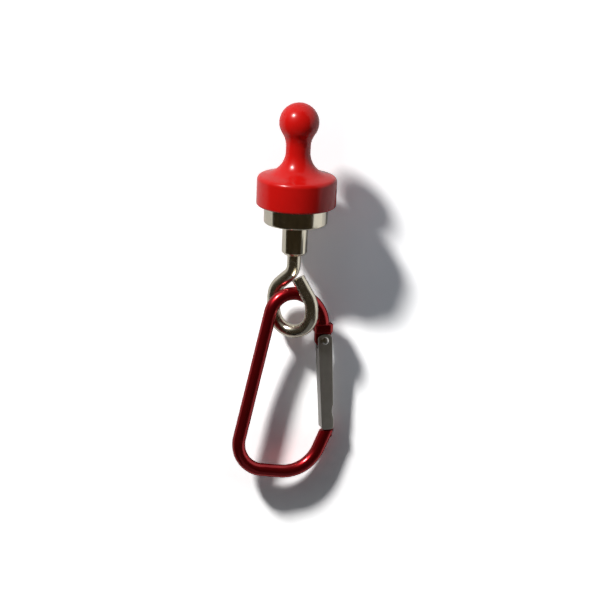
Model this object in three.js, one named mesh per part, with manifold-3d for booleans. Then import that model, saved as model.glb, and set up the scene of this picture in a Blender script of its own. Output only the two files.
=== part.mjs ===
import * as THREE from "three";
import { mergeVertices } from "three/addons/utils/BufferGeometryUtils.js";
import Module from "manifold-3d";

// Magnetic hook with a red skittle, a pot magnet, a wire eye and a snap carabiner
// Lengths are in millimetres, the origin is the centre of the pot magnet's holding face

// Skittle
const gripRadius = 10.0;
const gripSideHeight = 6.5;
const gripBottomEdgeRadius = 0.6;
const gripShoulderRadius = 1.2;
const gripTopSlope = 15;
const gripFlareRadius = 6.0;
const gripFlareCentreHeight = 13.87;
const gripNeckRadius = 3.1;
const gripKnobRadius = 5.0;
const gripKnobCentreHeight = 21.3;
const gripKnobFilletRadius = 6.0;
const gripMagnetRadius = 8.0;
const gripMagnetThickness = 5.0;
const gripMagnetEdgeChamfer = 0.25;
const gripMagnetClearance = 0.1;
const gripMagnetRoofClearance = 0.2;
const gripSeatClearance = 0.05;

// Pot magnet
const potRadius = 8.0;
const potHeight = 4.5;
const potWallThickness = 1.1;
const potFloorThickness = 1.4;
const potLowerEdgeRadius = 0.6;
const potRimChamfer = 0.2;
const potMagnetRadius = 5.9;
const potMagnetRecess = 0.1;
const potMagnetEdgeChamfer = 0.2;
const potMagnetFloorClearance = 0.1;
const resinRecess = 0.25;
const resinClearance = 0.05;

// Threaded bush
const bushRadius = 3.2;
const bushLength = 8.0;
const bushChamfer = 0.7;
const bushBoreRadius = 1.78;
const bushBoreDepth = 7.6;
const bushBoreChamfer = 0.3;
const bushSpigotRadius = 2.2;
const bushHeadRadius = 2.7;
const bushHeadHeight = 0.5;
const bushSpigotClearance = 0.1;

// Wire eye
const wireRadius = 1.7;
const wireTopInBush = 6.4;
const eyeRadius = 5.15;
const eyeCentreOffset = 0.13;
const eyeCentreBelowBush = 14.4;
const eyeBendBelowBush = 4.4;
const eyeBendRadius = 3.8;
const eyeSideCornerAboveCentre = 5.25;
const eyeSideRadius = 5.4;
const eyeArmCornerAboveCentre = 3.05;
const eyeArmRadius = 6.0;
const eyeTipOffset = 1.3;
const eyeTipAboveCentre = 9.15;
const eyeHelixRise = 2.8;
const eyeHelixStartShare = 0.3;
const eyeHelixEaseShare = 0.15;
const eyeYaw = 22;

// Carabiner frame, points of its centre line seen square on
const carabinerYaw = 16;
const carabinerForwardShift = 1.0;
const barRadius = 1.65;
const crownOffset = 3.95;
const crownAboveEyeCentre = 7.48;
const crownRadius = 5.8;
const noseOffset = 10.6;
const noseBelowCrown = 37.73;
const footOffset = 5.48;
const footBelowCrown = 49.9;
const footRadius = 9.3;
const heelOffset = 14.01;
const heelBelowCrown = 47.64;
const heelRadius = 7.1;
const elbowOffset = 7.95;
const elbowBelowCrown = 6.25;
const elbowRadius = 8.5;
const hingeLineOffset = 8.2;

// Hinge end of the frame
const pivotOffset = 8.4;
const pivotBelowCrown = 15.11;
const shoulderWidth = 4.7;
const shoulderThickness = 3.6;
const shoulderCornerRadius = 1.2;
const shoulderEdgeRadius = 0.3;
const shoulderBottomAbovePivot = 1.95;
const shoulderHeight = 2.3;
const shoulderCentreShift = 0.1;
const lugThickness = 1.6;
const lugInnerReach = 2.2;
const lugOuterReach = 1.9;
const lugRootOverlap = 0.5;

// Gate
const gateTilt = 3.74;
const gateThickness = 3.2;
const gateSheetThickness = 0.6;
const gateTopAbovePivot = 1.6;
const gateBottomBelowPivot = 23.2;
const gateTopInnerReach = 1.65;
const gateTopOuterReach = 2.05;
const gateBottomInnerReach = 1.35;
const gateBottomOuterReach = 1.75;
const gateTopCornerRadius = 1.2;
const gateBottomCornerRadius = 0.8;
const gateEdgeBevel = 0.4;
const gateWebTopBelowPivot = 2.2;
const gateNotchCentreBelowPivot = 18.5;
const gateNotchLength = 4.4;
const gateNotchDepth = 0.35;

// Nose tongue that the gate closes on
const noseTongueThickness = 1.6;
const noseTongueReach = 3.2;
const noseTongueRoot = 2.4;
const noseTongueWebClearance = 0.1;
const noseTongueOuterInset = 0.25;
const noseTongueCornerRadius = 0.6;
const noseEndClearance = 0.4;

// Rivet, push pin and spring
const rivetShaftRadius = 0.5;
const rivetHoleClearance = 0.06;
const rivetHeadRadius = 1.05;
const rivetHeadHeight = 0.4;
const rivetHeadClearance = 0.03;
const pinOffsetFromPivot = 1.1;
const pinRadius = 0.3;
const pinHoleClearance = 0.08;
const pinTipBelowPivot = 2.1;
const pinTipRadius = 0.06;
const pinTipTaper = 0.16;
const pinHeadRadius = 0.46;
const pinHeadHeight = 0.4;
const pocketRadius = 0.56;
const pocketHeight = 5.2;
const pocketFloorAbovePivot = 2.4;
const pinHeadSeatClearance = 0.05;
const springCoilRadius = 0.35;
const springWireRadius = 0.1;
const springPitch = 0.65;
const springEndClearance = 0.06;

// Facet counts
const roundSegments = 60;
const knobSegments = 12;
const arcSegments = 5;
const wireCurveSegments = 7;
const eyeSteps = 80;
const barSteps = 110;
const filletSamples = 12;
const springStepsPerTurn = 8;
const springSides = 5;
const smallRoundSegments = 24;

// Depths below the holding face that the sizes give
const bushEndDepth = potHeight + bushLength;
const eyeCentreDepth = bushEndDepth + eyeCentreBelowBush;
const crownDepth = eyeCentreDepth - crownAboveEyeCentre;
const pivotDepth = crownDepth + pivotBelowCrown;

const wasm = await Module();
wasm.setup();

const redPlastic = { color: 0xb8140f, roughness: 0.18, metalness: 0 };
const nickelPlate = { color: 0xb9b4a6, roughness: 0.16, metalness: 1 };
const ferrite = { color: 0x3a3a3c, roughness: 0.6, metalness: 0 };
const resin = { color: 0x4a463e, roughness: 0.4, metalness: 0 };
const redAnodised = { color: 0xa1121c, roughness: 0.28, metalness: 0.85 };
const bareAluminium = { color: 0xb4b2ac, roughness: 0.34, metalness: 1 };
const springSteel = { color: 0x8e8c88, roughness: 0.3, metalness: 1 };

function radians(degrees) {
  return THREE.MathUtils.degToRad(degrees);
}

function namedMesh(name, geometry, look) {
  const mesh = new THREE.Mesh(geometry, new THREE.MeshStandardMaterial(look));
  mesh.name = name;
  return mesh;
}

// Closed profile of points turned about the axis
function turned(points, segments) {
  const closed = points.map((p) => new THREE.Vector2(p[0], p[1]));
  if (points[0][0] > 0) {
    closed.push(closed[0].clone());
  }
  const geometry = new THREE.LatheGeometry(closed, segments);
  geometry.rotateX(Math.PI / 2);
  return geometry;
}

// Points on an arc in the profile plane, both ends included
function arcPoints(centreX, centreY, radius, fromDegrees, toDegrees, count) {
  return Array.from({ length: count + 1 }, (_, i) => {
    const angle = radians(fromDegrees + ((toDegrees - fromDegrees) * i) / count);
    return [centreX + radius * Math.cos(angle), centreY + radius * Math.sin(angle)];
  });
}

function toSolid(geometry) {
  const bare = geometry.clone();
  bare.deleteAttribute("normal");
  bare.deleteAttribute("uv");
  const merged = mergeVertices(bare);
  const solid = new wasm.Manifold(
    new wasm.Mesh({
      numProp: 3,
      vertProperties: new Float32Array(merged.attributes.position.array),
      triVerts: new Uint32Array(merged.index.array),
    }),
  );
  return solid;
}

function toGeometry(solid) {
  const mesh = solid.getMesh();
  const geometry = new THREE.BufferGeometry();
  geometry.setAttribute("position", new THREE.BufferAttribute(new Float32Array(mesh.vertProperties), 3));
  geometry.setIndex(new THREE.BufferAttribute(new Uint32Array(mesh.triVerts), 1));
  geometry.computeVertexNormals();
  return geometry;
}

// Centre line through corner points with a round of its own radius at each inner corner
function filleted(corners, radii) {
  const path = [corners[0].clone()];
  for (let i = 1; i < corners.length - 1; i += 1) {
    const corner = corners[i];
    const back = corners[i - 1].clone().sub(corner).normalize();
    const ahead = corners[i + 1].clone().sub(corner).normalize();
    const half = back.angleTo(ahead) / 2;
    const bisector = back.clone().add(ahead).normalize();
    const centre = corner.clone().addScaledVector(bisector, radii[i - 1] / Math.sin(half));
    const start = corner.clone().addScaledVector(back, radii[i - 1] / Math.tan(half));
    const end = corner.clone().addScaledVector(ahead, radii[i - 1] / Math.tan(half));
    const first = start.clone().sub(centre);
    const last = end.clone().sub(centre);
    const axis = first.clone().cross(last).normalize();
    const sweep = first.angleTo(last);
    for (let k = 0; k <= filletSamples; k += 1) {
      path.push(centre.clone().add(first.clone().applyAxisAngle(axis, (sweep * k) / filletSamples)));
    }
  }
  path.push(corners[corners.length - 1].clone());
  return path;
}

// Running length of a list of points
function runningLengths(points) {
  const lengths = [0];
  for (let i = 1; i < points.length; i += 1) {
    lengths.push(lengths[i - 1] + points[i].distanceTo(points[i - 1]));
  }
  return lengths;
}

// Curve that follows a list of points evenly by length
class PointPath extends THREE.Curve {
  constructor(points) {
    super();
    this.points = points;
    this.lengths = runningLengths(points);
  }

  getPoint(share, target = new THREE.Vector3()) {
    const length = share * this.lengths[this.lengths.length - 1];
    let i = 1;
    while (i < this.points.length - 1 && this.lengths[i] < length) {
      i += 1;
    }
    const part = (length - this.lengths[i - 1]) / (this.lengths[i] - this.lengths[i - 1]);
    return target.lerpVectors(this.points[i - 1], this.points[i], part);
  }
}

function roundBar(points, radius, steps) {
  const section = new THREE.Shape();
  section.absarc(0, 0, radius, 0, Math.PI * 2);
  return new THREE.ExtrudeGeometry(section, {
    steps,
    curveSegments: wireCurveSegments,
    extrudePath: new PointPath(points),
  });
}

// Plate centred on Y whose outline lies in the XZ plane, drawn with depth downwards
function uprightPlate(shape, thickness, bevel) {
  const geometry = new THREE.ExtrudeGeometry(shape, {
    depth: thickness - bevel * 2,
    curveSegments: arcSegments,
    bevelEnabled: bevel > 0,
    bevelThickness: bevel,
    bevelSize: bevel,
    bevelOffset: -bevel,
    bevelSegments: 3,
  });
  geometry.translate(0, 0, bevel - thickness / 2);
  geometry.rotateX(-Math.PI / 2);
  return geometry;
}

function box(fromX, toX, thickness, fromZ, toZ) {
  const geometry = new THREE.BoxGeometry(toX - fromX, thickness, toZ - fromZ);
  geometry.translate((fromX + toX) / 2, 0, (fromZ + toZ) / 2);
  return geometry;
}

function upright(radius, fromZ, toZ) {
  const geometry = new THREE.CylinderGeometry(radius, radius, toZ - fromZ, smallRoundSegments);
  geometry.rotateX(Math.PI / 2);
  geometry.translate(0, 0, (fromZ + toZ) / 2);
  return geometry;
}

function acrossHole(radius, length) {
  return new THREE.CylinderGeometry(radius, radius, length, smallRoundSegments);
}

// Skittle body with its pocket
function gripBody() {
  const bottom = gripSeatClearance;
  const pocketRadiusInGrip = gripMagnetRadius + gripMagnetClearance;
  const pocketRoof = bottom + gripMagnetThickness + gripMagnetRoofClearance;
  const slope = radians(gripTopSlope);
  const flareCentreX = gripNeckRadius + gripFlareRadius;
  const filletCentreX = gripNeckRadius + gripKnobFilletRadius;
  const knobReach = gripKnobRadius + gripKnobFilletRadius;
  const filletDrop = Math.sqrt(knobReach ** 2 - filletCentreX ** 2);
  const meetAngle = THREE.MathUtils.radToDeg(Math.asin(filletDrop / knobReach));
  const shoulderCentreX = gripRadius - gripShoulderRadius;
  const profile = [
    [0, pocketRoof],
    [pocketRadiusInGrip, pocketRoof],
    [pocketRadiusInGrip, bottom],
    ...arcPoints(gripRadius - gripBottomEdgeRadius, bottom + gripBottomEdgeRadius, gripBottomEdgeRadius, -90, 0, arcSegments),
    ...arcPoints(shoulderCentreX, gripSideHeight, gripShoulderRadius, 0, 90 - gripTopSlope, arcSegments),
    ...arcPoints(flareCentreX, gripFlareCentreHeight, gripFlareRadius, 270 - gripTopSlope, 180, arcSegments * 2),
    ...arcPoints(filletCentreX, gripKnobCentreHeight - filletDrop, gripKnobFilletRadius, 180, 180 - meetAngle, arcSegments),
    ...arcPoints(0, gripKnobCentreHeight, gripKnobRadius, -meetAngle, 90, knobSegments).slice(1, -1),
    [0, gripKnobCentreHeight + gripKnobRadius],
  ];
  const topFaceDrop = Math.tan(slope);
  const flareEnd = flareCentreX - gripFlareRadius * Math.sin(slope);
  const flareEndHeight = gripFlareCentreHeight - gripFlareRadius * Math.cos(slope);
  const shoulderEnd = shoulderCentreX + gripShoulderRadius * Math.sin(slope);
  const shoulderEndHeight = gripSideHeight + gripShoulderRadius * Math.cos(slope);
  const mismatch = flareEndHeight - shoulderEndHeight - (shoulderEnd - flareEnd) * topFaceDrop;
  console.log(`skittle top face: rise left over between shoulder and flare ${mismatch.toFixed(3)} mm`);
  return namedMesh("grip_body", turned(profile, roundSegments), redPlastic);
}

function chamferedDisc(radius, bottom, top, chamfer) {
  return turned(
    [
      [0, bottom],
      [radius - chamfer, bottom],
      [radius, bottom + chamfer],
      [radius, top - chamfer],
      [radius - chamfer, top],
      [0, top],
    ],
    roundSegments,
  );
}

function gripMagnet() {
  const bottom = gripSeatClearance;
  const disc = chamferedDisc(gripMagnetRadius, bottom, bottom + gripMagnetThickness, gripMagnetEdgeChamfer);
  return namedMesh("grip_magnet", disc, nickelPlate);
}

// Cup of the pot magnet, open upwards, with a countersunk hole for the bush
function potShell() {
  const holeRadius = bushSpigotRadius + bushSpigotClearance;
  const headRadius = bushHeadRadius + bushSpigotClearance;
  const innerRadius = potRadius - potWallThickness;
  const floorTop = potFloorThickness - potHeight;
  const profile = [
    [holeRadius, -potHeight],
    ...arcPoints(potRadius - potLowerEdgeRadius, potLowerEdgeRadius - potHeight, potLowerEdgeRadius, -90, 0, arcSegments),
    [potRadius, -potRimChamfer],
    [potRadius - potRimChamfer, 0],
    [innerRadius, 0],
    [innerRadius, floorTop],
    [headRadius, floorTop],
    [holeRadius, floorTop - bushHeadHeight],
  ];
  return namedMesh("pot_shell", turned(profile, roundSegments), nickelPlate);
}

function potMagnet() {
  const bottom = potFloorThickness + potMagnetFloorClearance - potHeight;
  const disc = chamferedDisc(potMagnetRadius, bottom, -potMagnetRecess, potMagnetEdgeChamfer);
  return namedMesh("pot_magnet", disc, ferrite);
}

function potResinRing() {
  const inner = potMagnetRadius + resinClearance;
  const outer = potRadius - potWallThickness - resinClearance;
  const bottom = potFloorThickness + resinClearance - potHeight;
  const profile = [
    [inner, bottom],
    [outer, bottom],
    [outer, -resinRecess],
    [inner, -resinRecess],
  ];
  return namedMesh("pot_resin_ring", turned(profile, roundSegments), resin);
}

// Bush with a blind bore from below and a spigot spread in the cup floor
function threadedBush() {
  const bottom = -bushEndDepth;
  const top = -potHeight - bushSpigotClearance;
  const headTop = potFloorThickness - potHeight;
  const boreEnd = bottom + bushBoreDepth;
  const profile = [
    [0, boreEnd],
    [bushBoreRadius, boreEnd - bushBoreRadius / 2],
    [bushBoreRadius, bottom + bushBoreChamfer],
    [bushBoreRadius + bushBoreChamfer, bottom],
    [bushRadius - bushChamfer, bottom],
    [bushRadius, bottom + bushChamfer],
    [bushRadius, top],
    [bushSpigotRadius, top],
    [bushSpigotRadius, headTop - bushHeadHeight],
    [bushHeadRadius, headTop],
    [0, headTop],
  ];
  return namedMesh("threaded_bush", turned(profile, roundSegments), nickelPlate);
}

// Flat centre line of the eye, before its yaw and its rise out of plane
function eyeFlatLine() {
  const left = eyeCentreOffset - eyeRadius;
  const right = eyeCentreOffset + eyeRadius;
  const centreZ = -eyeCentreDepth;
  const flat = (x, z) => new THREE.Vector3(x, 0, z);
  const down = filleted(
    [
      flat(0, wireTopInBush - bushEndDepth),
      flat(0, -bushEndDepth - eyeBendBelowBush),
      flat(left, centreZ + eyeSideCornerAboveCentre),
      flat(left, centreZ),
    ],
    [eyeBendRadius, eyeSideRadius],
  );
  const loopSamples = filletSamples * 3;
  const loop = arcPoints(eyeCentreOffset, centreZ, eyeRadius, 180, 360, loopSamples).slice(1, -1);
  const up = filleted(
    [
      flat(right, centreZ),
      flat(right, centreZ + eyeArmCornerAboveCentre),
      flat(eyeTipOffset, centreZ + eyeTipAboveCentre),
    ],
    [eyeArmRadius],
  );
  return [...down, ...loop.map((p) => flat(p[0], p[1])), ...up];
}

function eyeLine() {
  const points = eyeFlatLine();
  const lengths = runningLengths(points);
  const whole = lengths[lengths.length - 1];
  const bendDepth = bushEndDepth + eyeBendBelowBush;
  const bendStart = lengths[points.findIndex((p) => p.z < eyeBendRadius / 4 - bendDepth)];
  const start = bendStart + eyeHelixStartShare * (whole - bendStart);
  const yaw = radians(eyeYaw);
  return points.map((p, i) => {
    const along = Math.max(0, (lengths[i] - start) / (whole - start));
    const eased = along < eyeHelixEaseShare ? along ** 2 / (eyeHelixEaseShare * 2) : along - eyeHelixEaseShare / 2;
    const rise = (eyeHelixRise * eased) / (1 - eyeHelixEaseShare / 2);
    return new THREE.Vector3(p.x * Math.cos(yaw), -p.x * Math.sin(yaw) - rise, p.z);
  });
}

function eyeHook() {
  return namedMesh("eye_hook", roundBar(eyeLine(), wireRadius, eyeSteps), nickelPlate);
}

// Corners of the frame's centre line in its own plane, from the nose round to the hinge end
function frameLine() {
  const flat = (x, belowCrown) => new THREE.Vector3(x, 0, -crownDepth - belowCrown);
  const hingeEnd = pivotBelowCrown - shoulderBottomAbovePivot - shoulderHeight / 2;
  return filleted(
    [
      flat(noseOffset, noseBelowCrown),
      flat(footOffset, footBelowCrown),
      flat(-heelOffset, heelBelowCrown),
      flat(-crownOffset, 0),
      flat(elbowOffset, elbowBelowCrown),
      flat(hingeLineOffset, hingeEnd),
    ],
    [footRadius, heelRadius, crownRadius, elbowRadius],
  );
}

// Place a shape drawn about the pivot, with the gate's tilt if it follows the gate
function atPivot(geometry, tilted) {
  if (tilted) {
    geometry.rotateY(-radians(gateTilt));
  }
  geometry.translate(pivotOffset, 0, -pivotDepth);
  return geometry;
}

function roundedRectangle(width, height, radius) {
  const shape = new THREE.Shape();
  const x = width / 2;
  const y = height / 2;
  shape.moveTo(radius - x, -y);
  shape.lineTo(x - radius, -y);
  shape.absarc(x - radius, radius - y, radius, -Math.PI / 2, 0);
  shape.lineTo(x, y - radius);
  shape.absarc(x - radius, y - radius, radius, 0, Math.PI / 2);
  shape.lineTo(radius - x, y);
  shape.absarc(radius - x, y - radius, radius, Math.PI / 2, Math.PI);
  shape.lineTo(-x, radius - y);
  shape.absarc(radius - x, radius - y, radius, Math.PI, Math.PI * 1.5);
  return shape;
}

function shoulderBlock() {
  const geometry = new THREE.ExtrudeGeometry(roundedRectangle(shoulderWidth, shoulderThickness, shoulderCornerRadius), {
    depth: shoulderHeight - shoulderEdgeRadius * 2,
    curveSegments: arcSegments,
    bevelThickness: shoulderEdgeRadius,
    bevelSize: shoulderEdgeRadius,
    bevelOffset: -shoulderEdgeRadius,
    bevelSegments: 3,
  });
  geometry.translate(-shoulderCentreShift, 0, shoulderBottomAbovePivot + shoulderEdgeRadius);
  return geometry;
}

function lugPlate() {
  const top = shoulderBottomAbovePivot + lugRootOverlap;
  const shape = new THREE.Shape();
  shape.moveTo(lugOuterReach, -top);
  shape.lineTo(lugOuterReach, 0);
  shape.absarc(0, 0, lugOuterReach, 0, Math.PI / 2);
  shape.absellipse(0, 0, lugInnerReach, lugOuterReach, Math.PI / 2, Math.PI);
  shape.lineTo(-lugInnerReach, -top);
  return uprightPlate(shape, lugThickness, 0);
}

// Flattened tongue of the nose, between the gate's flanges
function noseTongue() {
  const inner = gateSheetThickness + noseTongueWebClearance - gateBottomInnerReach;
  const outer = gateBottomOuterReach - noseTongueOuterInset;
  const width = outer - inner;
  const height = noseTongueReach + noseTongueRoot;
  const shape = roundedRectangle(width, height, noseTongueCornerRadius);
  const geometry = uprightPlate(shape, noseTongueThickness, 0);
  const centre = noseTongueReach - height / 2 - gateBottomBelowPivot;
  geometry.translate((inner + outer) / 2, 0, centre);
  return geometry;
}

function placeInPlane(geometry) {
  geometry.rotateZ(radians(carabinerYaw));
  geometry.translate(0, -carabinerForwardShift, 0);
  return geometry;
}

function carabinerFrame() {
  const reach = barRadius * 4;
  const noseCut = box(-reach, reach, reach, -gateBottomBelowPivot - noseEndClearance, reach - gateBottomBelowPivot);
  const pinHole = upright(pinRadius + pinHoleClearance, -lugInnerReach * 2, pocketFloorAbovePivot + pinHeadHeight);
  const pocket = upright(pocketRadius, pocketFloorAbovePivot, pocketFloorAbovePivot + pocketHeight);
  pinHole.translate(-pinOffsetFromPivot, 0, 0);
  pocket.translate(-pinOffsetFromPivot, 0, 0);
  const bar = toSolid(roundBar(frameLine(), barRadius, barSteps)).subtract(toSolid(atPivot(noseCut, true)));
  const solid = bar
    .add(toSolid(atPivot(shoulderBlock(), false)))
    .add(toSolid(atPivot(lugPlate(), false)))
    .add(toSolid(atPivot(noseTongue(), true)))
    .subtract(toSolid(atPivot(acrossHole(rivetShaftRadius + rivetHoleClearance, lugThickness * 2), false)))
    .subtract(toSolid(atPivot(pinHole, false)))
    .subtract(toSolid(atPivot(pocket, false)));
  return namedMesh("carabiner_frame", placeInPlane(toGeometry(solid)), redAnodised);
}

// Outline of the gate seen square on, from its inner bottom corner round
function gateOutline() {
  const shape = new THREE.Shape();
  const r = gateTopCornerRadius;
  const b = gateBottomCornerRadius;
  const bottom = gateBottomBelowPivot;
  const notchTop = gateNotchCentreBelowPivot - gateNotchLength / 2;
  const notchBottom = gateNotchCentreBelowPivot + gateNotchLength / 2;
  const span = gateBottomBelowPivot + gateTopAbovePivot;
  const outerAt = (depth) => {
    const share = (depth + gateTopAbovePivot) / span;
    return gateTopOuterReach + (gateBottomOuterReach - gateTopOuterReach) * share;
  };
  shape.moveTo(b - gateBottomInnerReach, bottom);
  shape.absarc(b - gateBottomInnerReach, bottom - b, b, Math.PI / 2, Math.PI);
  shape.lineTo(-gateTopInnerReach, r - gateTopAbovePivot);
  shape.absarc(r - gateTopInnerReach, r - gateTopAbovePivot, r, Math.PI, Math.PI * 1.5);
  shape.lineTo(gateTopOuterReach - r, -gateTopAbovePivot);
  shape.absarc(gateTopOuterReach - r, r - gateTopAbovePivot, r, Math.PI * 1.5, Math.PI * 2);
  shape.lineTo(outerAt(notchTop), notchTop);
  shape.bezierCurveTo(
    outerAt(notchTop) - gateNotchDepth / 3,
    notchTop + gateNotchLength / 4,
    outerAt(gateNotchCentreBelowPivot) - gateNotchDepth,
    gateNotchCentreBelowPivot - gateNotchLength / 4,
    outerAt(gateNotchCentreBelowPivot) - gateNotchDepth,
    gateNotchCentreBelowPivot,
  );
  shape.bezierCurveTo(
    outerAt(gateNotchCentreBelowPivot) - gateNotchDepth,
    gateNotchCentreBelowPivot + gateNotchLength / 4,
    outerAt(notchBottom) - gateNotchDepth / 3,
    notchBottom - gateNotchLength / 4,
    outerAt(notchBottom),
    notchBottom,
  );
  shape.lineTo(gateBottomOuterReach, bottom - b);
  shape.absarc(gateBottomOuterReach - b, bottom - b, b, 0, Math.PI / 2);
  return shape;
}

// Space between the flanges, open towards the outside
function gateHollow() {
  const far = gateTopOuterReach * 2;
  const below = gateBottomBelowPivot * 2;
  const above = gateTopAbovePivot * 2;
  const slant = (gateTopInnerReach - gateBottomInnerReach) / (gateBottomBelowPivot + gateTopAbovePivot);
  const innerAt = (depth) => gateSheetThickness - gateTopInnerReach + slant * (depth + gateTopAbovePivot);
  const shape = new THREE.Shape();
  shape.moveTo(innerAt(below), below);
  shape.lineTo(innerAt(-above), -above);
  shape.lineTo(far, -above);
  shape.lineTo(far, below);
  return uprightPlate(shape, gateThickness - gateSheetThickness * 2, 0);
}

function gate() {
  const innerGap = gateThickness - gateSheetThickness * 2;
  const webCut = box(-gateTopInnerReach * 2, 0, innerGap, -gateWebTopBelowPivot, gateTopAbovePivot * 2);
  const solid = toSolid(uprightPlate(gateOutline(), gateThickness, gateEdgeBevel))
    .subtract(toSolid(gateHollow()))
    .subtract(toSolid(webCut))
    .subtract(toSolid(acrossHole(rivetShaftRadius + rivetHoleClearance, gateThickness * 2)));
  return namedMesh("gate", placeInPlane(atPivot(toGeometry(solid), true)), bareAluminium);
}

function gateRivet() {
  const faceY = gateThickness / 2 + rivetHeadClearance;
  const dome = (side) =>
    Array.from({ length: arcSegments + 1 }, (_, i) => {
      const angle = (Math.PI / 2) * (i / arcSegments);
      const out = side > 0 ? angle : Math.PI / 2 - angle;
      return [rivetHeadRadius * Math.cos(out), side * (faceY + rivetHeadHeight * Math.sin(out))];
    });
  const lower = dome(-1).slice(1);
  const upper = dome(1).slice(0, -1);
  const profile = [
    [0, -faceY - rivetHeadHeight],
    ...lower,
    [rivetShaftRadius, -faceY],
    [rivetShaftRadius, faceY],
    ...upper,
    [0, faceY + rivetHeadHeight],
  ];
  const points = profile.map((p) => new THREE.Vector2(p[0], p[1]));
  const geometry = new THREE.LatheGeometry(points, smallRoundSegments);
  return namedMesh("gate_rivet", placeInPlane(atPivot(geometry, false)), bareAluminium);
}

// Push pin whose tapered tip clears the path of the gate's web
function gatePushPin() {
  const headBottom = pocketFloorAbovePivot + pinHeadSeatClearance;
  const profile = [
    [0, -pinTipBelowPivot],
    [pinTipRadius, -pinTipBelowPivot],
    [pinRadius, pinTipTaper - pinTipBelowPivot],
    [pinRadius, headBottom],
    [pinHeadRadius, headBottom],
    [pinHeadRadius, headBottom + pinHeadHeight],
    [0, headBottom + pinHeadHeight],
  ];
  const geometry = turned(profile, smallRoundSegments);
  geometry.translate(-pinOffsetFromPivot, 0, 0);
  return namedMesh("gate_push_pin", placeInPlane(atPivot(geometry, false)), springSteel);
}

// Coil curve of the spring, rising along Z
class Coil extends THREE.Curve {
  constructor(radius, height, turns) {
    super();
    this.radius = radius;
    this.height = height;
    this.turns = turns;
  }

  getPoint(share, target = new THREE.Vector3()) {
    const angle = share * this.turns * Math.PI * 2;
    return target.set(this.radius * Math.cos(angle), this.radius * Math.sin(angle), this.height * share);
  }
}

function gateSpring() {
  const bottom = pocketFloorAbovePivot + pinHeadSeatClearance + pinHeadHeight + springEndClearance + springWireRadius;
  const top = pocketFloorAbovePivot + pocketHeight - springEndClearance - springWireRadius;
  const turns = Math.floor((top - bottom) / springPitch);
  const section = new THREE.Shape();
  for (let i = 0; i < springSides; i += 1) {
    const angle = (Math.PI * 2 * i) / springSides;
    const x = springWireRadius * Math.cos(angle);
    const y = springWireRadius * Math.sin(angle);
    if (i === 0) {
      section.moveTo(x, y);
    } else {
      section.lineTo(x, y);
    }
  }
  const geometry = new THREE.ExtrudeGeometry(section, {
    steps: turns * springStepsPerTurn,
    extrudePath: new Coil(springCoilRadius, top - bottom, turns),
  });
  geometry.translate(-pinOffsetFromPivot, 0, bottom);
  const gap = (top - bottom) / turns - springWireRadius * 2;
  console.log(`gate_spring: ${turns} turns, least gap between turns ${gap.toFixed(3)} mm`);
  return namedMesh("gate_spring", placeInPlane(atPivot(geometry, false)), springSteel);
}

const part = new THREE.Group();
part.name = "magnetic_hook";
part.add(
  gripBody(),
  gripMagnet(),
  potShell(),
  potMagnet(),
  potResinRing(),
  threadedBush(),
  eyeHook(),
  carabinerFrame(),
  gate(),
  gateRivet(),
  gatePushPin(),
  gateSpring(),
);

export default part;
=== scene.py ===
import math

import bmesh
import bpy
from mathutils import Matrix, Vector


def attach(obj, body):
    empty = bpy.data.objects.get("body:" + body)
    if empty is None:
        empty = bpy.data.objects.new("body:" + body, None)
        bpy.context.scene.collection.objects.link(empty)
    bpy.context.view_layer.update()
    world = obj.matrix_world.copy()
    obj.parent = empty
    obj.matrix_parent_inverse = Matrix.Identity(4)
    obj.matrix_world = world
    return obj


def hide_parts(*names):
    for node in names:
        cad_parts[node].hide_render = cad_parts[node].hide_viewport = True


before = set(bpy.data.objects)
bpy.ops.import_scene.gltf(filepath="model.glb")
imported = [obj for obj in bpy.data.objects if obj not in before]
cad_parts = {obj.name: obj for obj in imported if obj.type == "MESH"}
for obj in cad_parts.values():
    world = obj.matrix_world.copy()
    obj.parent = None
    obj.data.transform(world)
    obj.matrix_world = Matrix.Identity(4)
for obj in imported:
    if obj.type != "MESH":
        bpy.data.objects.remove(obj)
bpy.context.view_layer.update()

bl_info = {
    "name": "Magnetic hook",
    "version": (1, 0, 0),
    "blender": (4, 5, 0),
    "location": "3D View > Sidebar > Hook",
    "description": "Dresses the packed magnetic hook: red skittle, pot magnet, wire eye and snap carabiner",
    "category": "Object",
}

MM = 0.001
WAVES_PER_METRE = 1.0 / MM

# The point that the lamp shines on and the tent is centred on, and the direction from there to the lamp
HOOK_MIDDLE = Vector((0.0, 0.0, -20 * MM))
TOWARDS_LAMP = Vector((-0.489, -0.446, 0.749)).normalized()


# Colours, nodes and meshes


def linear(hex_colour):
    """sRGB hex value as linear red, green and blue."""
    channels = [((hex_colour >> shift) & 255) / 255 for shift in (16, 8, 0)]
    return tuple(c / 12.92 if c <= 0.04045 else ((c + 0.055) / 1.055) ** 2.4 for c in channels)


def add(tree, kind, sockets=None, **settings):
    """New node with its settings; a socket's value is a number, a colour or the output it is linked to."""
    node = tree.nodes.new(kind)
    for name, value in settings.items():
        setattr(node, name, value)
    for name, value in (sockets or {}).items():
        if isinstance(value, bpy.types.NodeSocket):
            tree.links.new(value, node.inputs[name])
        else:
            node.inputs[name].default_value = value
    return node


def rgba(paint, level=1.0):
    """Colour for a socket, made darker or paler by a factor."""
    return tuple(min(1.0, channel * level) for channel in paint[:3]) + (1.0,)


def place(mesh, name):
    """Object at the origin for a finished mesh, linked to the scene."""
    piece = bpy.data.objects.new(name, mesh)
    bpy.context.scene.collection.objects.link(piece)
    return piece


def mesh_of(bm, name):
    """Mesh of what was drawn in bmesh, which is then freed."""
    mesh = bpy.data.meshes.new(name)
    bm.to_mesh(mesh)
    bm.free()
    return mesh


def finish_mesh(mesh, sharp_degrees=32.0):
    """Smooth faces with sharp edges where the surface really turns."""
    mesh.shade_smooth()
    mesh.set_sharp_from_angle(angle=math.radians(sharp_degrees))
    return mesh


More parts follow.
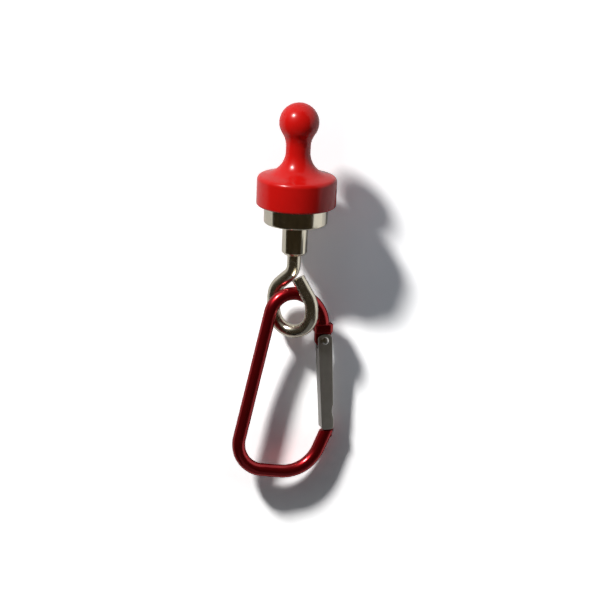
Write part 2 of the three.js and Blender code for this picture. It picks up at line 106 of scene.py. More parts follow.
def baked(carrier, name):
    """Plain mesh of an object with its modifiers applied; the carrier is removed."""
    graph = bpy.context.evaluated_depsgraph_get()
    mesh = bpy.data.meshes.new_from_object(
        carrier.evaluated_get(graph), preserve_all_data_layers=True, depsgraph=graph
    )
    mesh.name = name
    bpy.data.objects.remove(carrier)
    return mesh


def dress(piece, material, body, nodes):
    """Gives a new piece its material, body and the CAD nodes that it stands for."""
    piece.data.materials.clear()
    piece.data.materials.append(material)
    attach(piece, body)
    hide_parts(*nodes)


def repaint(node, material):
    """Gives a CAD node that stays in view its material."""
    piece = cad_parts[node]
    for index in range(len(piece.material_slots)):
        piece.material_slots[index].material = material


# Sizes and colours


def length(name, millimetres, text):
    """Size in millimetres, held in metres."""
    return bpy.props.FloatProperty(
        name=name, description=text, default=millimetres * MM, unit="LENGTH", subtype="DISTANCE", precision=5
    )


def angle(name, degrees, text):
    """Angle in degrees, held in radians."""
    return bpy.props.FloatProperty(
        name=name, description=text, default=math.radians(degrees), unit="ROTATION", subtype="ANGLE"
    )


def colour(name, hex_colour, text):
    """Colour in sRGB, held as linear."""
    return bpy.props.FloatVectorProperty(
        name=name, description=text, default=linear(hex_colour), subtype="COLOR", size=3, min=0.0, max=1.0
    )


def count(name, number, text):
    """Number of facets or turns."""
    return bpy.props.IntProperty(name=name, description=text, default=number, min=3)


def share(name, number, text):
    """Number from 0 to 1."""
    return bpy.props.FloatProperty(
        name=name, description=text, default=number, min=0.0, max=1.0, subtype="FACTOR"
    )


def plain(name, number, text):
    """Number that isn't below 0."""
    return bpy.props.FloatProperty(name=name, description=text, default=number, min=0.0)


class HookSkittle(bpy.types.PropertyGroup):
    """Sizes and colour of the moulded skittle"""

    radius: length("Base radius", 10.0, "Radius of the skittle's base")
    seat: length("Seat height", 0.05, "Height of the rim above the pot magnet's holding face")
    side_height: length("Side height", 6.5, "Height of the centre of the shoulder's round")
    bottom_edge: length("Bottom edge radius", 0.6, "Round of the lower edge")
    shoulder: length("Shoulder radius", 1.2, "Round between the side and the top face")
    top_slope: angle("Top slope", 15.0, "Slope of the base's top face")
    flare: length("Flare radius", 6.0, "Round from the top face into the neck")
    flare_height: length("Flare height", 13.87, "Height of the flare's centre")
    neck: length("Neck radius", 3.1, "Radius of the neck where it is thinnest")
    knob: length("Knob radius", 5.0, "Radius of the knob")
    knob_height: length("Knob height", 21.3, "Height of the knob's centre")
    knob_fillet: length("Knob fillet", 6.0, "Round between the neck and the knob")
    pocket_radius: length("Pocket radius", 8.1, "Radius of the pocket for the magnet")
    pocket_depth: length("Pocket depth", 5.2, "Depth of the pocket from the rim")
    pocket_lip: length("Pocket lip", 0.15, "Chamfer round the pocket's mouth")
    sides: count("Sides", 160, "Facets round the skittle")
    red: colour("Red", 0xC2100B, "Colour of the moulded plastic")


class HookPot(bpy.types.PropertyGroup):
    """Sizes and colours of the pot magnet and its bush"""

    radius: length("Radius", 8.0, "Outer radius of the steel cup")
    height: length("Height", 4.5, "Height of the cup")
    wall: length("Wall", 1.1, "Thickness of the cup's wall")
    floor: length("Floor", 1.4, "Thickness of the cup's floor")
    lower_edge: length("Lower edge radius", 0.6, "Round of the pressed lower edge")
    rim: length("Rim round", 0.2, "Round of the rim's edges")
    hole: length("Hole radius", 2.3, "Radius of the hole for the bush")
    countersink: length("Countersink radius", 2.8, "Radius of the countersink inside the cup")
    countersink_depth: length("Countersink depth", 0.5, "Depth of the countersink")
    sides: count("Sides", 160, "Facets round the cup and the bush")
    bush_radius: length("Bush radius", 3.2, "Outer radius of the threaded bush")
    bush_length: length("Bush length", 8.0, "Length of the bush below the cup")
    bush_edge: length("Bush chamfer", 0.7, "Chamfer at the bush's lower end")
    bore_radius: length("Bore radius", 1.78, "Radius of the bore for the eye's shank")
    bore_depth: length("Bore depth", 7.6, "Depth of the bore")
    bore_edge: length("Bore chamfer", 0.3, "Chamfer at the bore's mouth")
    spigot: length("Spigot radius", 2.2, "Radius of the spigot through the cup's floor")
    head: length("Spread head radius", 2.7, "Radius of the spigot's spread head")
    spigot_gap: length("Spigot gap", 0.1, "Gap between the bush and the cup")
    nickel: colour("Nickel", 0xCDC6B4, "Colour of the bright nickel plate")
    ferrite: colour("Ferrite", 0x303133, "Colour of the sintered magnet")
    resin: colour("Resin", 0x3B372F, "Colour of the cast resin")


class HookEye(bpy.types.PropertyGroup):
    """Sizes of the wire eye"""

    wire: length("Wire radius", 1.7, "Radius of the bent wire")
    top: length("Shank top", -6.1, "Height of the shank's upper end in the bush")
    bend_height: length("Bend height", -16.9, "Height of the corner where the shank bends away")
    bend_round: length("Bend round", 3.8, "Round of the shank's bend")
    side_above: length("Side corner", 5.25, "Height above the eye's centre of the corner into the ring")
    side_round: length("Side round", 5.4, "Round of the corner into the ring")
    ring: length("Ring radius", 5.15, "Radius of the ring's centre line")
    ring_offset: length("Ring offset", 0.13, "Sideways place of the ring's centre")
    ring_height: length("Ring height", -26.9, "Height of the ring's centre")
    arm_above: length("Arm corner", 3.05, "Height above the eye's centre of the corner out of the ring")
    arm_round: length("Arm round", 6.0, "Round of the corner out of the ring")
    tip_offset: length("Tip offset", 1.3, "Sideways place of the wire's free end")
    tip_above: length("Tip height", 9.15, "Height of the free end above the eye's centre")
    rise: length("Helix rise", 2.8, "How far the free end stands in front of the shank")
    rise_start: share("Rise start", 0.3, "Share of the bent wire before the rise begins")
    rise_ease: share("Rise ease", 0.15, "Share of the rise over which it begins")
    yaw: angle("Yaw", 22.0, "Turn of the ring's plane about the shank")
    end_round: length("End round", 0.35, "Round of the wire's cut ends")
    sides: count("Sides", 48, "Facets round the wire")


class HookCarabiner(bpy.types.PropertyGroup):
    """Sizes and colour of the carabiner's bar"""

    yaw: angle("Yaw", 16.0, "Turn of the carabiner's plane about Z")
    forward: length("Forward shift", 1.0, "How far the plane stands in front of the axis")
    bar: length("Bar radius", 1.65, "Radius of the bent bar")
    crown: length("Crown height", -19.42, "Height of the crown's corner")
    crown_offset: length("Crown offset", -3.95, "Sideways place of the crown's corner")
    crown_round: length("Crown round", 5.8, "Round of the crown")
    nose_offset: length("Nose offset", 10.6, "Sideways place of the nose's end")
    nose_below: length("Nose below crown", 37.73, "Height of the nose's end below the crown")
    foot_offset: length("Foot offset", 5.48, "Sideways place of the foot's corner")
    foot_below: length("Foot below crown", 49.9, "Height of the foot's corner below the crown")
    foot_round: length("Foot round", 9.3, "Round of the foot")
    heel_offset: length("Heel offset", -14.01, "Sideways place of the heel's corner")
    heel_below: length("Heel below crown", 47.64, "Height of the heel's corner below the crown")
    heel_round: length("Heel round", 7.1, "Round of the heel")
    elbow_offset: length("Elbow offset", 7.95, "Sideways place of the elbow's corner")
    elbow_below: length("Elbow below crown", 6.25, "Height of the elbow's corner below the crown")
    elbow_round: length("Elbow round", 8.5, "Round of the elbow")
    hinge_offset: length("Hinge line offset", 8.2, "Sideways place of the bar at the hinge end")
    pivot_offset: length("Pivot offset", 8.4, "Sideways place of the gate's pivot")
    pivot_below: length("Pivot below crown", 15.11, "Height of the gate's pivot below the crown")
    shoulder_width: length("Shoulder width", 4.7, "Width of the shoulder above the gate")
    shoulder_thickness: length("Shoulder thickness", 3.6, "Thickness of the shoulder")
    shoulder_corner: length("Shoulder corner", 1.2, "Round of the shoulder's corners")
    shoulder_edge: length("Shoulder edge", 0.3, "Round of the shoulder's edges")
    shoulder_above: length("Shoulder above pivot", 1.95, "Height of the shoulder's underside above the pivot")
    shoulder_height: length("Shoulder height", 2.3, "Height of the shoulder")
    shoulder_shift: length("Shoulder shift", 0.1, "How far the shoulder's centre is inside the pivot")
    lug_thickness: length("Lug thickness", 1.6, "Thickness of the lug that carries the rivet")
    lug_inner: length("Lug inner reach", 2.2, "Reach of the lug towards the loop")
    lug_outer: length("Lug outer reach", 1.9, "Reach of the lug outwards and downwards")
    tongue_thickness: length("Tongue thickness", 1.6, "Thickness of the nose's tongue")
    tongue_reach: length("Tongue reach", 3.2, "Reach of the tongue above the gate's lower end")
    tongue_root: length("Tongue root", 2.4, "Depth of the tongue in the bar")
    tongue_inner: length("Tongue inner side", -0.65, "Inner side of the tongue from the gate's line")
    tongue_outer: length("Tongue outer side", 1.5, "Outer side of the tongue from the gate's line")
    tongue_corner: length("Tongue corner", 0.6, "Round of the tongue's corners")
    nose_gap: length("Nose gap", 0.4, "Gap between the nose's face and the gate")
    sides: count("Sides", 48, "Facets round the bar")
    red: colour("Anodised red", 0x9C0F18, "Colour of the red anodised aluminium")


class HookGate(bpy.types.PropertyGroup):
    """Sizes and colour of the gate and its rivet"""

    tilt: angle("Tilt", 3.74, "Tilt of the closed gate")
    thickness: length("Thickness", 3.2, "Thickness over the gate's two flanges")
    sheet: length("Sheet", 0.6, "Thickness of the gate's sheet")
    top: length("Top", 1.6, "Height of the gate's top above the pivot")
    bottom: length("Bottom", 23.2, "Height of the gate's lower end below the pivot")
    top_inner: length("Top inner reach", 1.65, "Reach towards the loop at the top")
    top_outer: length("Top outer reach", 2.05, "Reach outwards at the top")
    bottom_inner: length("Bottom inner reach", 1.35, "Reach towards the loop at the lower end")
    bottom_outer: length("Bottom outer reach", 1.75, "Reach outwards at the lower end")
    top_corner: length("Top corner", 1.2, "Round of the top's corners")
    bottom_corner: length("Bottom corner", 0.8, "Round of the lower corners")
    bend: length("Bend round", 0.4, "Round where the sheet turns between web and flanges")
    rolled: length("Rolled edge", 1.0, "Round of the channel's open edges")
    web_top: length("Web top", 2.2, "Height of the web's top below the pivot")
    notch_centre: length("Notch centre", 18.5, "Height of the finger notch below the pivot")
    notch_length: length("Notch length", 4.4, "Length of the finger notch")
    notch_depth: length("Notch depth", 0.35, "Depth of the finger notch")
    rivet_shaft: length("Rivet shaft", 0.5, "Radius of the rivet's shaft")
    rivet_hole: length("Rivet hole", 0.56, "Radius of the rivet's hole")
    rivet_head: length("Rivet head", 1.05, "Radius of the rivet's heads")
    rivet_dome: length("Rivet dome", 0.4, "Height of the rivet's heads")
    rivet_gap: length("Rivet gap", 0.03, "Gap under the rivet's heads")
    aluminium: colour("Aluminium", 0xC9C7C2, "Colour of the bare aluminium")


class HookSpring(bpy.types.PropertyGroup):
    """Sizes and colour of the closing spring and its pocket"""

    offset: length("Offset", 1.1, "How far the pin stands inside the pivot")
    coil: length("Coil radius", 0.35, "Radius of the coil's centre line")
    wire: length("Wire radius", 0.1, "Radius of the spring's wire")
    bottom: length("Bottom", 3.01, "Height of the lowest turn's centre above the pivot")
    top: length("Top", 7.44, "Height of the highest turn's centre above the pivot")
    turns: count("Turns", 6, "Turns of the spring")
    pocket_radius: length("Pocket radius", 0.56, "Radius of the pocket in the bar")
    pocket_floor: length("Pocket floor", 2.4, "Height of the pocket's floor above the pivot")
    pocket_height: length("Pocket height", 5.2, "Height of the pocket")
    pin_hole: length("Pin hole", 0.38, "Radius of the push pin's hole")
    steel: colour("Steel", 0xA9A7A2, "Colour of the drawn spring steel")


class HookStage(bpy.types.PropertyGroup):
    """Camera, backdrop and lights"""

    target_x: length("Target X", 1.9, "Sideways place of the point that the camera looks at")
    target_z: length("Target Z", -24.22, "Height of the point that the camera looks at")
    distance: length("Camera distance", 1500.0, "Distance of the camera")
    elevation: angle("Camera elevation", 14.6, "Height of the camera above the horizon")
    roll: angle("Camera roll", 2.25, "Turn of the picture")
    focal: plain("Focal length", 359.8, "Focal length in millimetres")
    height_low: length("Foot height", -76.0, "Height of the backdrop's bend below the carabiner")
    height_gate: length("Gate height", -48.0, "Height of the backdrop's bend beside the gate")
    height_turn: length("Turn height", -45.0, "Height below which the backdrop's turn stays the same")
    height_eye: length("Eye height", -24.0, "Height of the backdrop's bend beside the eye")
    height_top: length("Top height", 40.0, "Height of the backdrop's bend above the knob")
    sheet_low: length("Sheet at foot", 2.7, "Backdrop's distance behind the axis at the foot height")
    sheet_gate: length("Sheet at gate", 3.5, "Backdrop's distance behind the axis at the gate height")
    sheet_eye: length("Sheet at eye", 8.9, "Backdrop's distance behind the axis at the eye height")
    sheet_near: length("Sheet at face", 13.9, "Backdrop's distance behind the axis at the holding face")
    sheet_top: length("Sheet at top", 17.5, "Backdrop's distance behind the axis at the top height")
    sheet_floor: length("Floor height", -170.0, "Height of the floor")
    turn_low: angle("Lower sheet turn", 7.24, "How far the right side turns away beside the gate")
    turn_near: angle("Upper sheet turn", 11.9, "How far the right side turns away beside the skittle")
    lift: plain("Paper lift", 1.7, "How much paler the paper shows than it lights")
    mirrored_lift: plain("Mirrored lift", 1.0, "The same for what polished metal mirrors")
    white: colour("Paper", 0xF7F6F5, "Colour of the backdrop paper")
    lamp_size: length("Lamp size", 90.0, "Diameter of the lamp")
    lamp_distance: length("Lamp distance", 700.0, "Distance of the lamp from the hook")
    lamp_power: plain("Lamp power", 5.7, "Power of the lamp in watts")
    room_light: share("Room light", 0.15, "Strength of the room's light against its white")
    tent: length("Tent radius", 250.0, "Radius of the dark tent")
    window: angle("Tent window", 12.0, "Half the angle of the tent's window for the lamp")
    # The tent's halo is a painted highlight round the lamp's window, and its pale right side a painted
    # reflection
    halo: angle("Tent halo", 38.0, "Half the angle over which the tent pales towards its window")
    fade_start: angle("Fade start", -28.0, "Turn about Z at which the tent's right side starts to pale")
    fade_end: angle("Fade end", -12.0, "Turn about Z at which the tent's right side would be palest")


GROUPS = {
    "hook_skittle": HookSkittle,
    "hook_pot": HookPot,
    "hook_eye": HookEye,
    "hook_carabiner": HookCarabiner,
    "hook_gate": HookGate,
    "hook_spring": HookSpring,
    "hook_stage": HookStage,
}


# Shapes


def arc(centre_x, centre_y, radius, start, end, steps):
    """Points of an arc in a flat drawing, both ends included, angles in degrees."""
    turns = [math.radians(start + (end - start) * i / steps) for i in range(steps + 1)]
    return [(centre_x + radius * math.cos(a), centre_y + radius * math.sin(a)) for a in turns]


def turned(name, profile, sides, axis="Z", closed=False):
    """Mesh of (radius, height) points turned about an axis; closed joins the last point to the first."""
    on_axis = 1e-9
    bm = bmesh.new()
    rings = []
    for radius, height in profile:
        steps = 1 if radius < on_axis else sides
        ring = []
        for i in range(steps):
            around = 2 * math.pi * i / sides
            spot = Vector((radius * math.cos(around), radius * math.sin(around), height))
            ring.append(bm.verts.new(spot if axis == "Z" else Vector((spot.x, -spot.z, spot.y))))
        rings.append(ring)
    pairs = list(zip(rings, rings[1:]))
    if closed:
        pairs.append((rings[-1], rings[0]))
    for lower, upper in pairs:
        for i in range(sides):
            j = (i + 1) % sides
            below = [lower[i % len(lower)], lower[j % len(lower)]]
            above = [upper[j % len(upper)], upper[i % len(upper)]]
            corners = list(dict.fromkeys(below + above))
            if len(corners) > 2:
                bm.faces.new(corners)
    bmesh.ops.recalc_face_normals(bm, faces=bm.faces)
    return finish_mesh(mesh_of(bm, name))


def sheet_of(name, rows):
    """Open mesh of faces between rows of points, the upper row first."""
    bm = bmesh.new()
    grid = [[bm.verts.new(point) for point in row] for row in rows]
    for upper, lower in zip(grid, grid[1:]):
        for k in range(len(upper) - 1):
            bm.faces.new((upper[k], lower[k], lower[k + 1], upper[k + 1]))
    return mesh_of(bm, name)


def between(z, heights, values):
    """Value at a height, from values that hold at rising heights and run straight between them."""
    for low, high, first, last in zip(heights, heights[1:], values, values[1:]):
        if z <= high:
            return first + (last - first) * max(0.0, (z - low) / (high - low))
    return values[-1]


def filleted(corners, rounds, samples=40):
    """Centre line through corner points with a round of its own radius at each inner corner."""
    path = [corners[0].copy()]
    for i in range(1, len(corners) - 1):
        corner = corners[i]
        back = (corners[i - 1] - corner).normalized()
        ahead = (corners[i + 1] - corner).normalized()
        half = back.angle(ahead) / 2
        centre = corner + (back + ahead).normalized() * (rounds[i - 1] / math.sin(half))
        first = corner + back * (rounds[i - 1] / math.tan(half)) - centre
        last = corner + ahead * (rounds[i - 1] / math.tan(half)) - centre
        turn = first.cross(last).normalized()
        sweep = first.angle(last)
        for k in range(samples + 1):
            path.append(centre + Matrix.Rotation(sweep * k / samples, 3, turn) @ first)
    path.append(corners[-1].copy())
    return path


def running_lengths(points):
    """Length of the line from its start to each of its points."""
    lengths = [0.0]
    for before, after in zip(points, points[1:]):
        lengths.append(lengths[-1] + (after - before).length)
    return lengths


def evenly(points, step):
    """The same line with points about one step apart."""
    lengths = running_lengths(points)
    steps = max(2, round(lengths[-1] / step))
    line = []
    i = 1
    for k in range(steps + 1):
        wanted = lengths[-1] * k / steps
        while i < len(points) - 1 and lengths[i] < wanted:
            i += 1
        part = (wanted - lengths[i - 1]) / (lengths[i] - lengths[i - 1])
        line.append(points[i - 1].lerp(points[i], part))
    return line


def begin_tree(name, inputs):
    """Geometry Nodes tree with named inputs, and the node that gives them."""
    tree = bpy.data.node_groups.new(name, "GeometryNodeTree")
    for label, kind in inputs:
        tree.interface.new_socket(label, in_out="INPUT", socket_type="NodeSocket" + kind)
    return tree, add(tree, "NodeGroupInput")


def end_tree(tree, shape, material, label):
    """The tree, ended with plain geometry in its material."""
    tree.interface.new_socket(label, in_out="OUTPUT", socket_type="NodeSocketGeometry")
    real = add(tree, "GeometryNodeRealizeInstances", {"Geometry": shape})
    painted = add(tree, "GeometryNodeSetMaterial", {"Geometry": real.outputs[0], "Material": material})
    add(tree, "NodeGroupOutput", {label: painted.outputs[0]})
    return tree


def sweep_tree(name):
    """Tree of a round bar swept along edges, with the place along and round it as flow."""
    inputs = (("Line", "Geometry"), ("Radius", "Float"), ("Sides", "Int"), ("Material", "Material"))
    tree, given = begin_tree(name, inputs)
    line = add(tree, "GeometryNodeMeshToCurve", {"Mesh": given.outputs["Line"]})
    width = add(tree, "GeometryNodeInputNamedAttribute", {"Name": "width"}, data_type="FLOAT")
    sized = add(tree, "GeometryNodeSetCurveRadius", {"Curve": line.outputs[0], "Radius": width.outputs[0]})
    along = add(tree, "GeometryNodeSplineParameter")
    kept = add(tree, "GeometryNodeCaptureAttribute", domain="POINT")
    kept.capture_items.new("FLOAT", "Along")
    tree.links.new(sized.outputs[0], kept.inputs["Geometry"])
    tree.links.new(along.outputs["Length"], kept.inputs["Along"])
    ring = add(
        tree,
        "GeometryNodeCurvePrimitiveCircle",
        {"Resolution": given.outputs["Sides"], "Radius": given.outputs["Radius"]},
        mode="RADIUS",
    )
    around = add(tree, "GeometryNodeSplineParameter")
    kept_ring = add(tree, "GeometryNodeCaptureAttribute", domain="POINT")
    kept_ring.capture_items.new("FLOAT", "Around")
    full_turn = 2 * math.pi
    turn = add(tree, "ShaderNodeMath", {0: around.outputs["Factor"], 1: full_turn}, operation="MULTIPLY")
    tree.links.new(ring.outputs["Curve"], kept_ring.inputs["Geometry"])
    tree.links.new(turn.outputs[0], kept_ring.inputs["Around"])
    bar = add(
        tree,
        "GeometryNodeCurveToMesh",
        {
            "Curve": kept.outputs["Geometry"],
            "Profile Curve": kept_ring.outputs["Geometry"],
            "Fill Caps": True,
        },
    )
    across = add(tree, "ShaderNodeMath", {0: kept_ring.outputs["Around"]}, operation="COSINE")
    upright = add(tree, "ShaderNodeMath", {0: kept_ring.outputs["Around"]}, operation="SINE")
    flow = add(
        tree,
        "ShaderNodeCombineXYZ",
        {"X": kept.outputs["Along"], "Y": across.outputs[0], "Z": upright.outputs[0]},
    )
    stored = add(
        tree,
        "GeometryNodeStoreNamedAttribute",
        {"Geometry": bar.outputs[0], "Name": "flow", "Value": flow.outputs[0]},
        data_type="FLOAT_VECTOR",
        domain="CORNER",
    )
    return end_tree(tree, stored.outputs[0], given.outputs["Material"], "Swept bar")


def coil_tree(name):
    """Tree of an upright coil spring, moved to its place."""
    inputs = [("Seat", "Geometry")]
    inputs += [(label, "Float") for label in ("Coil radius", "Wire radius", "Height", "Turns")]
    inputs += [("Place", "Vector"), ("Material", "Material")]
    tree, given = begin_tree(name, inputs)
    coil = add(
        tree,
        "GeometryNodeCurveSpiral",
        {
            "Resolution": 32,
            "Rotations": given.outputs["Turns"],
            "Start Radius": given.outputs["Coil radius"],
            "End Radius": given.outputs["Coil radius"],
            "Height": given.outputs["Height"],
        },
    )
    ring = add(
        tree,
        "GeometryNodeCurvePrimitiveCircle",
        {"Resolution": 10, "Radius": given.outputs["Wire radius"]},
        mode="RADIUS",
    )
    wire = add(
        tree,
        "GeometryNodeCurveToMesh",
        {"Curve": coil.outputs[0], "Profile Curve": ring.outputs["Curve"], "Fill Caps": True},
    )
    placed = add(
        tree, "GeometryNodeTransform", {"Geometry": wire.outputs[0], "Translation": given.outputs["Place"]}
    )
    return end_tree(tree, placed.outputs[0], given.outputs["Material"], "Spring")


def grown(name, tree, values, points=(), widths=()):
    """Mesh that a Geometry Nodes tree grows from a line of points and its named inputs."""
    seed = bpy.data.meshes.new(name)
    seed.from_pydata([tuple(p) for p in points], [(i, i + 1) for i in range(len(points) - 1)], [])
    if points:
        held = seed.attributes.new("width", "FLOAT", "POINT")
        held.data.foreach_set("value", list(widths))
    carrier = place(seed, name)
    modifier = carrier.modifiers.new("Grow", "NODES")
    modifier.node_group = tree
    for item in tree.interface.items_tree:
        if item.in_out == "INPUT" and item.name in values:
            modifier[item.identifier] = values[item.name]
    return baked(carrier, name)


def swept(name, points, radius, sides, material, end_round=0.0):
    """Round bar along a line, its ends rounded if asked."""
    widths = [1.0] * len(points)
    if end_round > 0.0:
        points, widths = rounded_ends(points, radius, end_round)
    tree = bpy.data.node_groups.get("Swept round bar") or sweep_tree("Swept round bar")
    values = {"Radius": radius, "Sides": sides, "Material": material}
    return grown(name, tree, values, points, widths)


def rounded_ends(points, radius, end_round, steps=6):
    """Points and widths of a line whose last stretch at both ends narrows on a quarter round."""
    caps = []
    for end, towards in ((points[0], points[1]), (points[-1], points[-2])):
        run = (towards - end).normalized()
        cap = []
        for k in range(steps + 1):
            turn = math.pi / 2 * k / steps
            spot = end + run * end_round * (1 - math.sin(turn))
            cap.append((spot, 1.0 - end_round / radius * (1 - math.cos(turn))))
        caps.append(cap)
    cap_space = end_round * 1.2
    ends = (points[0], points[-1])
    line = [(p, 1.0) for p in points[1:-1] if min((p - end).length for end in ends) > cap_space]
    whole = caps[0][::-1] + line + caps[1]
    return [spot for spot, _ in whole], [width for _, width in whole]


def plate(name, outline, thickness):
    """Upright plate centred on Y from an outline of (x, z) points."""
    bm = bmesh.new()
    front = [bm.verts.new((x, -thickness / 2, z)) for x, z in outline]
    face = bm.faces.new(front)
    extruded = bmesh.ops.extrude_face_region(bm, geom=[face])
    back = [v for v in extruded["geom"] if isinstance(v, bmesh.types.BMVert)]
    bmesh.ops.translate(bm, verts=back, vec=(0, thickness, 0))
    bmesh.ops.recalc_face_normals(bm, faces=bm.faces)
    return mesh_of(bm, name)


def drilled(name, radius, low, high, axis="Z", sides=32):
    """Round body about an axis that cuts a hole."""
    return turned(name, [(0, low), (radius, low), (radius, high), (0, high)], sides, axis)


def rounded_rectangle(left, right, bottom, top, radius, steps=8):
    """Outline of a rectangle with rounded corners."""
    points = arc(right - radius, bottom + radius, radius, -90, 0, steps)
    points += arc(right - radius, top - radius, radius, 0, 90, steps)
    points += arc(left + radius, top - radius, radius, 90, 180, steps)
    points += arc(left + radius, bottom + radius, radius, 180, 270, steps)
    return points


def bevelled(mesh, width, segments, sharp_degrees=60.0, share_of=None):
    """The mesh with its sharp edges rounded, each by a share of the width if a rule for it is given."""
    if share_of:
        weights = mesh.attributes.new("bevel_weight_edge", "FLOAT", "EDGE")
        for edge, weight in zip(mesh.edges, weights.data):
            first, last = (mesh.vertices[i].co for i in edge.vertices)
            weight.value = share_of(first, last)
    carrier = place(mesh, mesh.name)
    modifier = carrier.modifiers.new("Round", "BEVEL")
    modifier.width = width
    modifier.segments = segments
    modifier.limit_method = "WEIGHT" if share_of else "ANGLE"
    modifier.angle_limit = math.radians(sharp_degrees)
    return baked(carrier, mesh.name)


def combined(mesh, steps):
    """Joins or cuts meshes exactly, one after another."""
    carrier = place(mesh, mesh.name)
    tools = []
    for operation, other in steps:
        tool = place(other, other.name)
        tools.append(tool)
        modifier = carrier.modifiers.new("Fit", "BOOLEAN")
        modifier.operation = operation
        modifier.object = tool
        modifier.solver = "EXACT"
    solid = baked(carrier, mesh.name)
    for tool in tools:
        bpy.data.objects.remove(tool)
    return solid


def box(name, low, high):
    """Box between its lowest and highest corner."""
    bm = bmesh.new()
    bmesh.ops.create_cube(bm, size=1.0)
    low, high = Vector(low), Vector(high)
    bmesh.ops.scale(bm, vec=high - low, verts=bm.verts)
    bmesh.ops.translate(bm, vec=(low + high) / 2, verts=bm.verts)
    return mesh_of(bm, name)


def moved(mesh, matrix):
    """The same mesh after a move."""
    mesh.transform(matrix)
    return mesh


# Where the pieces of the carabiner stand


def in_plane(carabiner):
    """From the carabiner's own plane to the frame of the whole hook."""
    turn = Matrix.Rotation(carabiner.yaw, 4, "Z")
    return Matrix.Translation((0, -carabiner.forward, 0)) @ turn


def at_pivot(carabiner, gate, tilted=False):
    """From a drawing about the pivot to the carabiner's plane, tilted as the closed gate if asked."""
    shift = Matrix.Translation((carabiner.pivot_offset, 0, carabiner.crown - carabiner.pivot_below))
    return shift @ Matrix.Rotation(-gate.tilt, 4, "Y") if tilted else shift


def frame_line(carabiner):
    """Centre line of the bar in its own plane, from the nose round to the hinge end."""
    hinge = carabiner.pivot_below - carabiner.shoulder_above - carabiner.shoulder_height / 2
    corners = [
        (carabiner.nose_offset, carabiner.nose_below),
        (carabiner.foot_offset, carabiner.foot_below),
        (carabiner.heel_offset, carabiner.heel_below),
        (carabiner.crown_offset, 0.0),
        (carabiner.elbow_offset, carabiner.elbow_below),
        (carabiner.hinge_offset, hinge),
    ]
    line = filleted(
        [Vector((x, 0, carabiner.crown - below)) for x, below in corners],
        [carabiner.foot_round, carabiner.heel_round, carabiner.crown_round, carabiner.elbow_round],
    )
    return evenly(line, step=0.6 * MM)


def eye_line(eye):
    """Centre line of the wire eye, turned and risen out of its plane."""
    left = eye.ring_offset - eye.ring
    right = eye.ring_offset + eye.ring
    down = filleted(
        [
            Vector((0, 0, eye.top)),
            Vector((0, 0, eye.bend_height)),
            Vector((left, 0, eye.ring_height + eye.side_above)),
            Vector((left, 0, eye.ring_height)),
        ],
        [eye.bend_round, eye.side_round],
    )
    ring = arc(eye.ring_offset, eye.ring_height, eye.ring, 180, 360, 90)[1:-1]
    loop = [Vector((x, 0, z)) for x, z in ring]
    up = filleted(
        [
            Vector((right, 0, eye.ring_height)),
            Vector((right, 0, eye.ring_height + eye.arm_above)),
            Vector((eye.tip_offset, 0, eye.ring_height + eye.tip_above)),
        ],
        [eye.arm_round],
    )
    flat = down + loop + up
    lengths = running_lengths(flat)
    whole = lengths[-1]
    bend = next(lengths[i] for i, p in enumerate(flat) if p.z < eye.bend_height + eye.bend_round / 4)
    start = bend + eye.rise_start * (whole - bend)
    line = []
    for spot, run in zip(flat, lengths):
        along = max(0.0, (run - start) / (whole - start))
        eased = along**2 / (eye.rise_ease * 2) if along < eye.rise_ease else along - eye.rise_ease / 2
        rise = eye.rise * eased / (1 - eye.rise_ease / 2)
        line.append(Vector((spot.x * math.cos(eye.yaw), -spot.x * math.sin(eye.yaw) - rise, spot.z)))
    return evenly(line, step=0.45 * MM)


# Materials


def made_once(fill):
    """The material that a function's nodes make, built at its first call and named for the function."""

    def material(*given):
        made = bpy.data.materials.get(fill.__name__)
        if made is None:
            made = bpy.data.materials.new(fill.__name__)
            made.use_nodes = True
            made.node_tree.nodes.clear()
            fill(made.node_tree, *given)
        return made

    return material


def shade(tree, paint, tone, gloss, relief=None, sockets=None):
    """Adds a surface with a tone, a gloss and a relief that each follow a pattern.

    The tone is the pattern's socket and the darkest and palest share of the paint, the gloss is its socket
    and the lowest and highest roughness, and the relief is its socket, its strength and its depth.
    """
    pattern, darker, paler = tone
    tint = add(
        tree,
        "ShaderNodeMix",
        {"Factor": pattern, 6: rgba(paint, darker), 7: rgba(paint, paler)},
        data_type="RGBA",
    )
    pattern, smoothest, roughest = gloss
    rough = add(tree, "ShaderNodeMapRange", {"Value": pattern, "To Min": smoothest, "To Max": roughest})
    looks = {"Base Color": tint.outputs[2], "Roughness": rough.outputs[0]}
    if relief:
        height, strength, depth = relief
        bump = add(tree, "ShaderNodeBump", {"Height": height, "Strength": strength, "Distance": depth})
        looks["Normal"] = bump.outputs[0]
    shader = add(tree, "ShaderNodeBsdfPrincipled", {**looks, **(sockets or {})})
    add(tree, "ShaderNodeOutputMaterial", {"Surface": shader.outputs[0]})


@made_once
def gloss_moulded_abs(tree, paint):
    """Glossy injection-moulded ABS."""
    # A polished mould gives a wet gloss; shrinkage leaves soft waves 3 mm long and handling a haze of 0.5 mm
    spot = add(tree, "ShaderNodeTexCoord").outputs["Object"]
    waves = add(tree, "ShaderNodeTexNoise", {"Vector": spot, "Scale": WAVES_PER_METRE / 3.0, "Detail": 1.0})
    haze = add(
        tree,
        "ShaderNodeTexNoise",
        {"Vector": spot, "Scale": WAVES_PER_METRE / 0.5, "Detail": 4.0, "Roughness": 0.6},
    )
    relief = add(
        tree, "ShaderNodeMath", {0: waves.outputs[0], 1: 0.8, 2: haze.outputs[0]}, operation="MULTIPLY_ADD"
    )
    shade(
        tree,
        paint,
        (waves.outputs[0], 0.94, 1.06),
        (haze.outputs[0], 0.2, 0.29),
        (relief.outputs[0], 0.25, 0.02 * MM),
        {"IOR": 1.5, "Specular IOR Level": 0.28},
    )


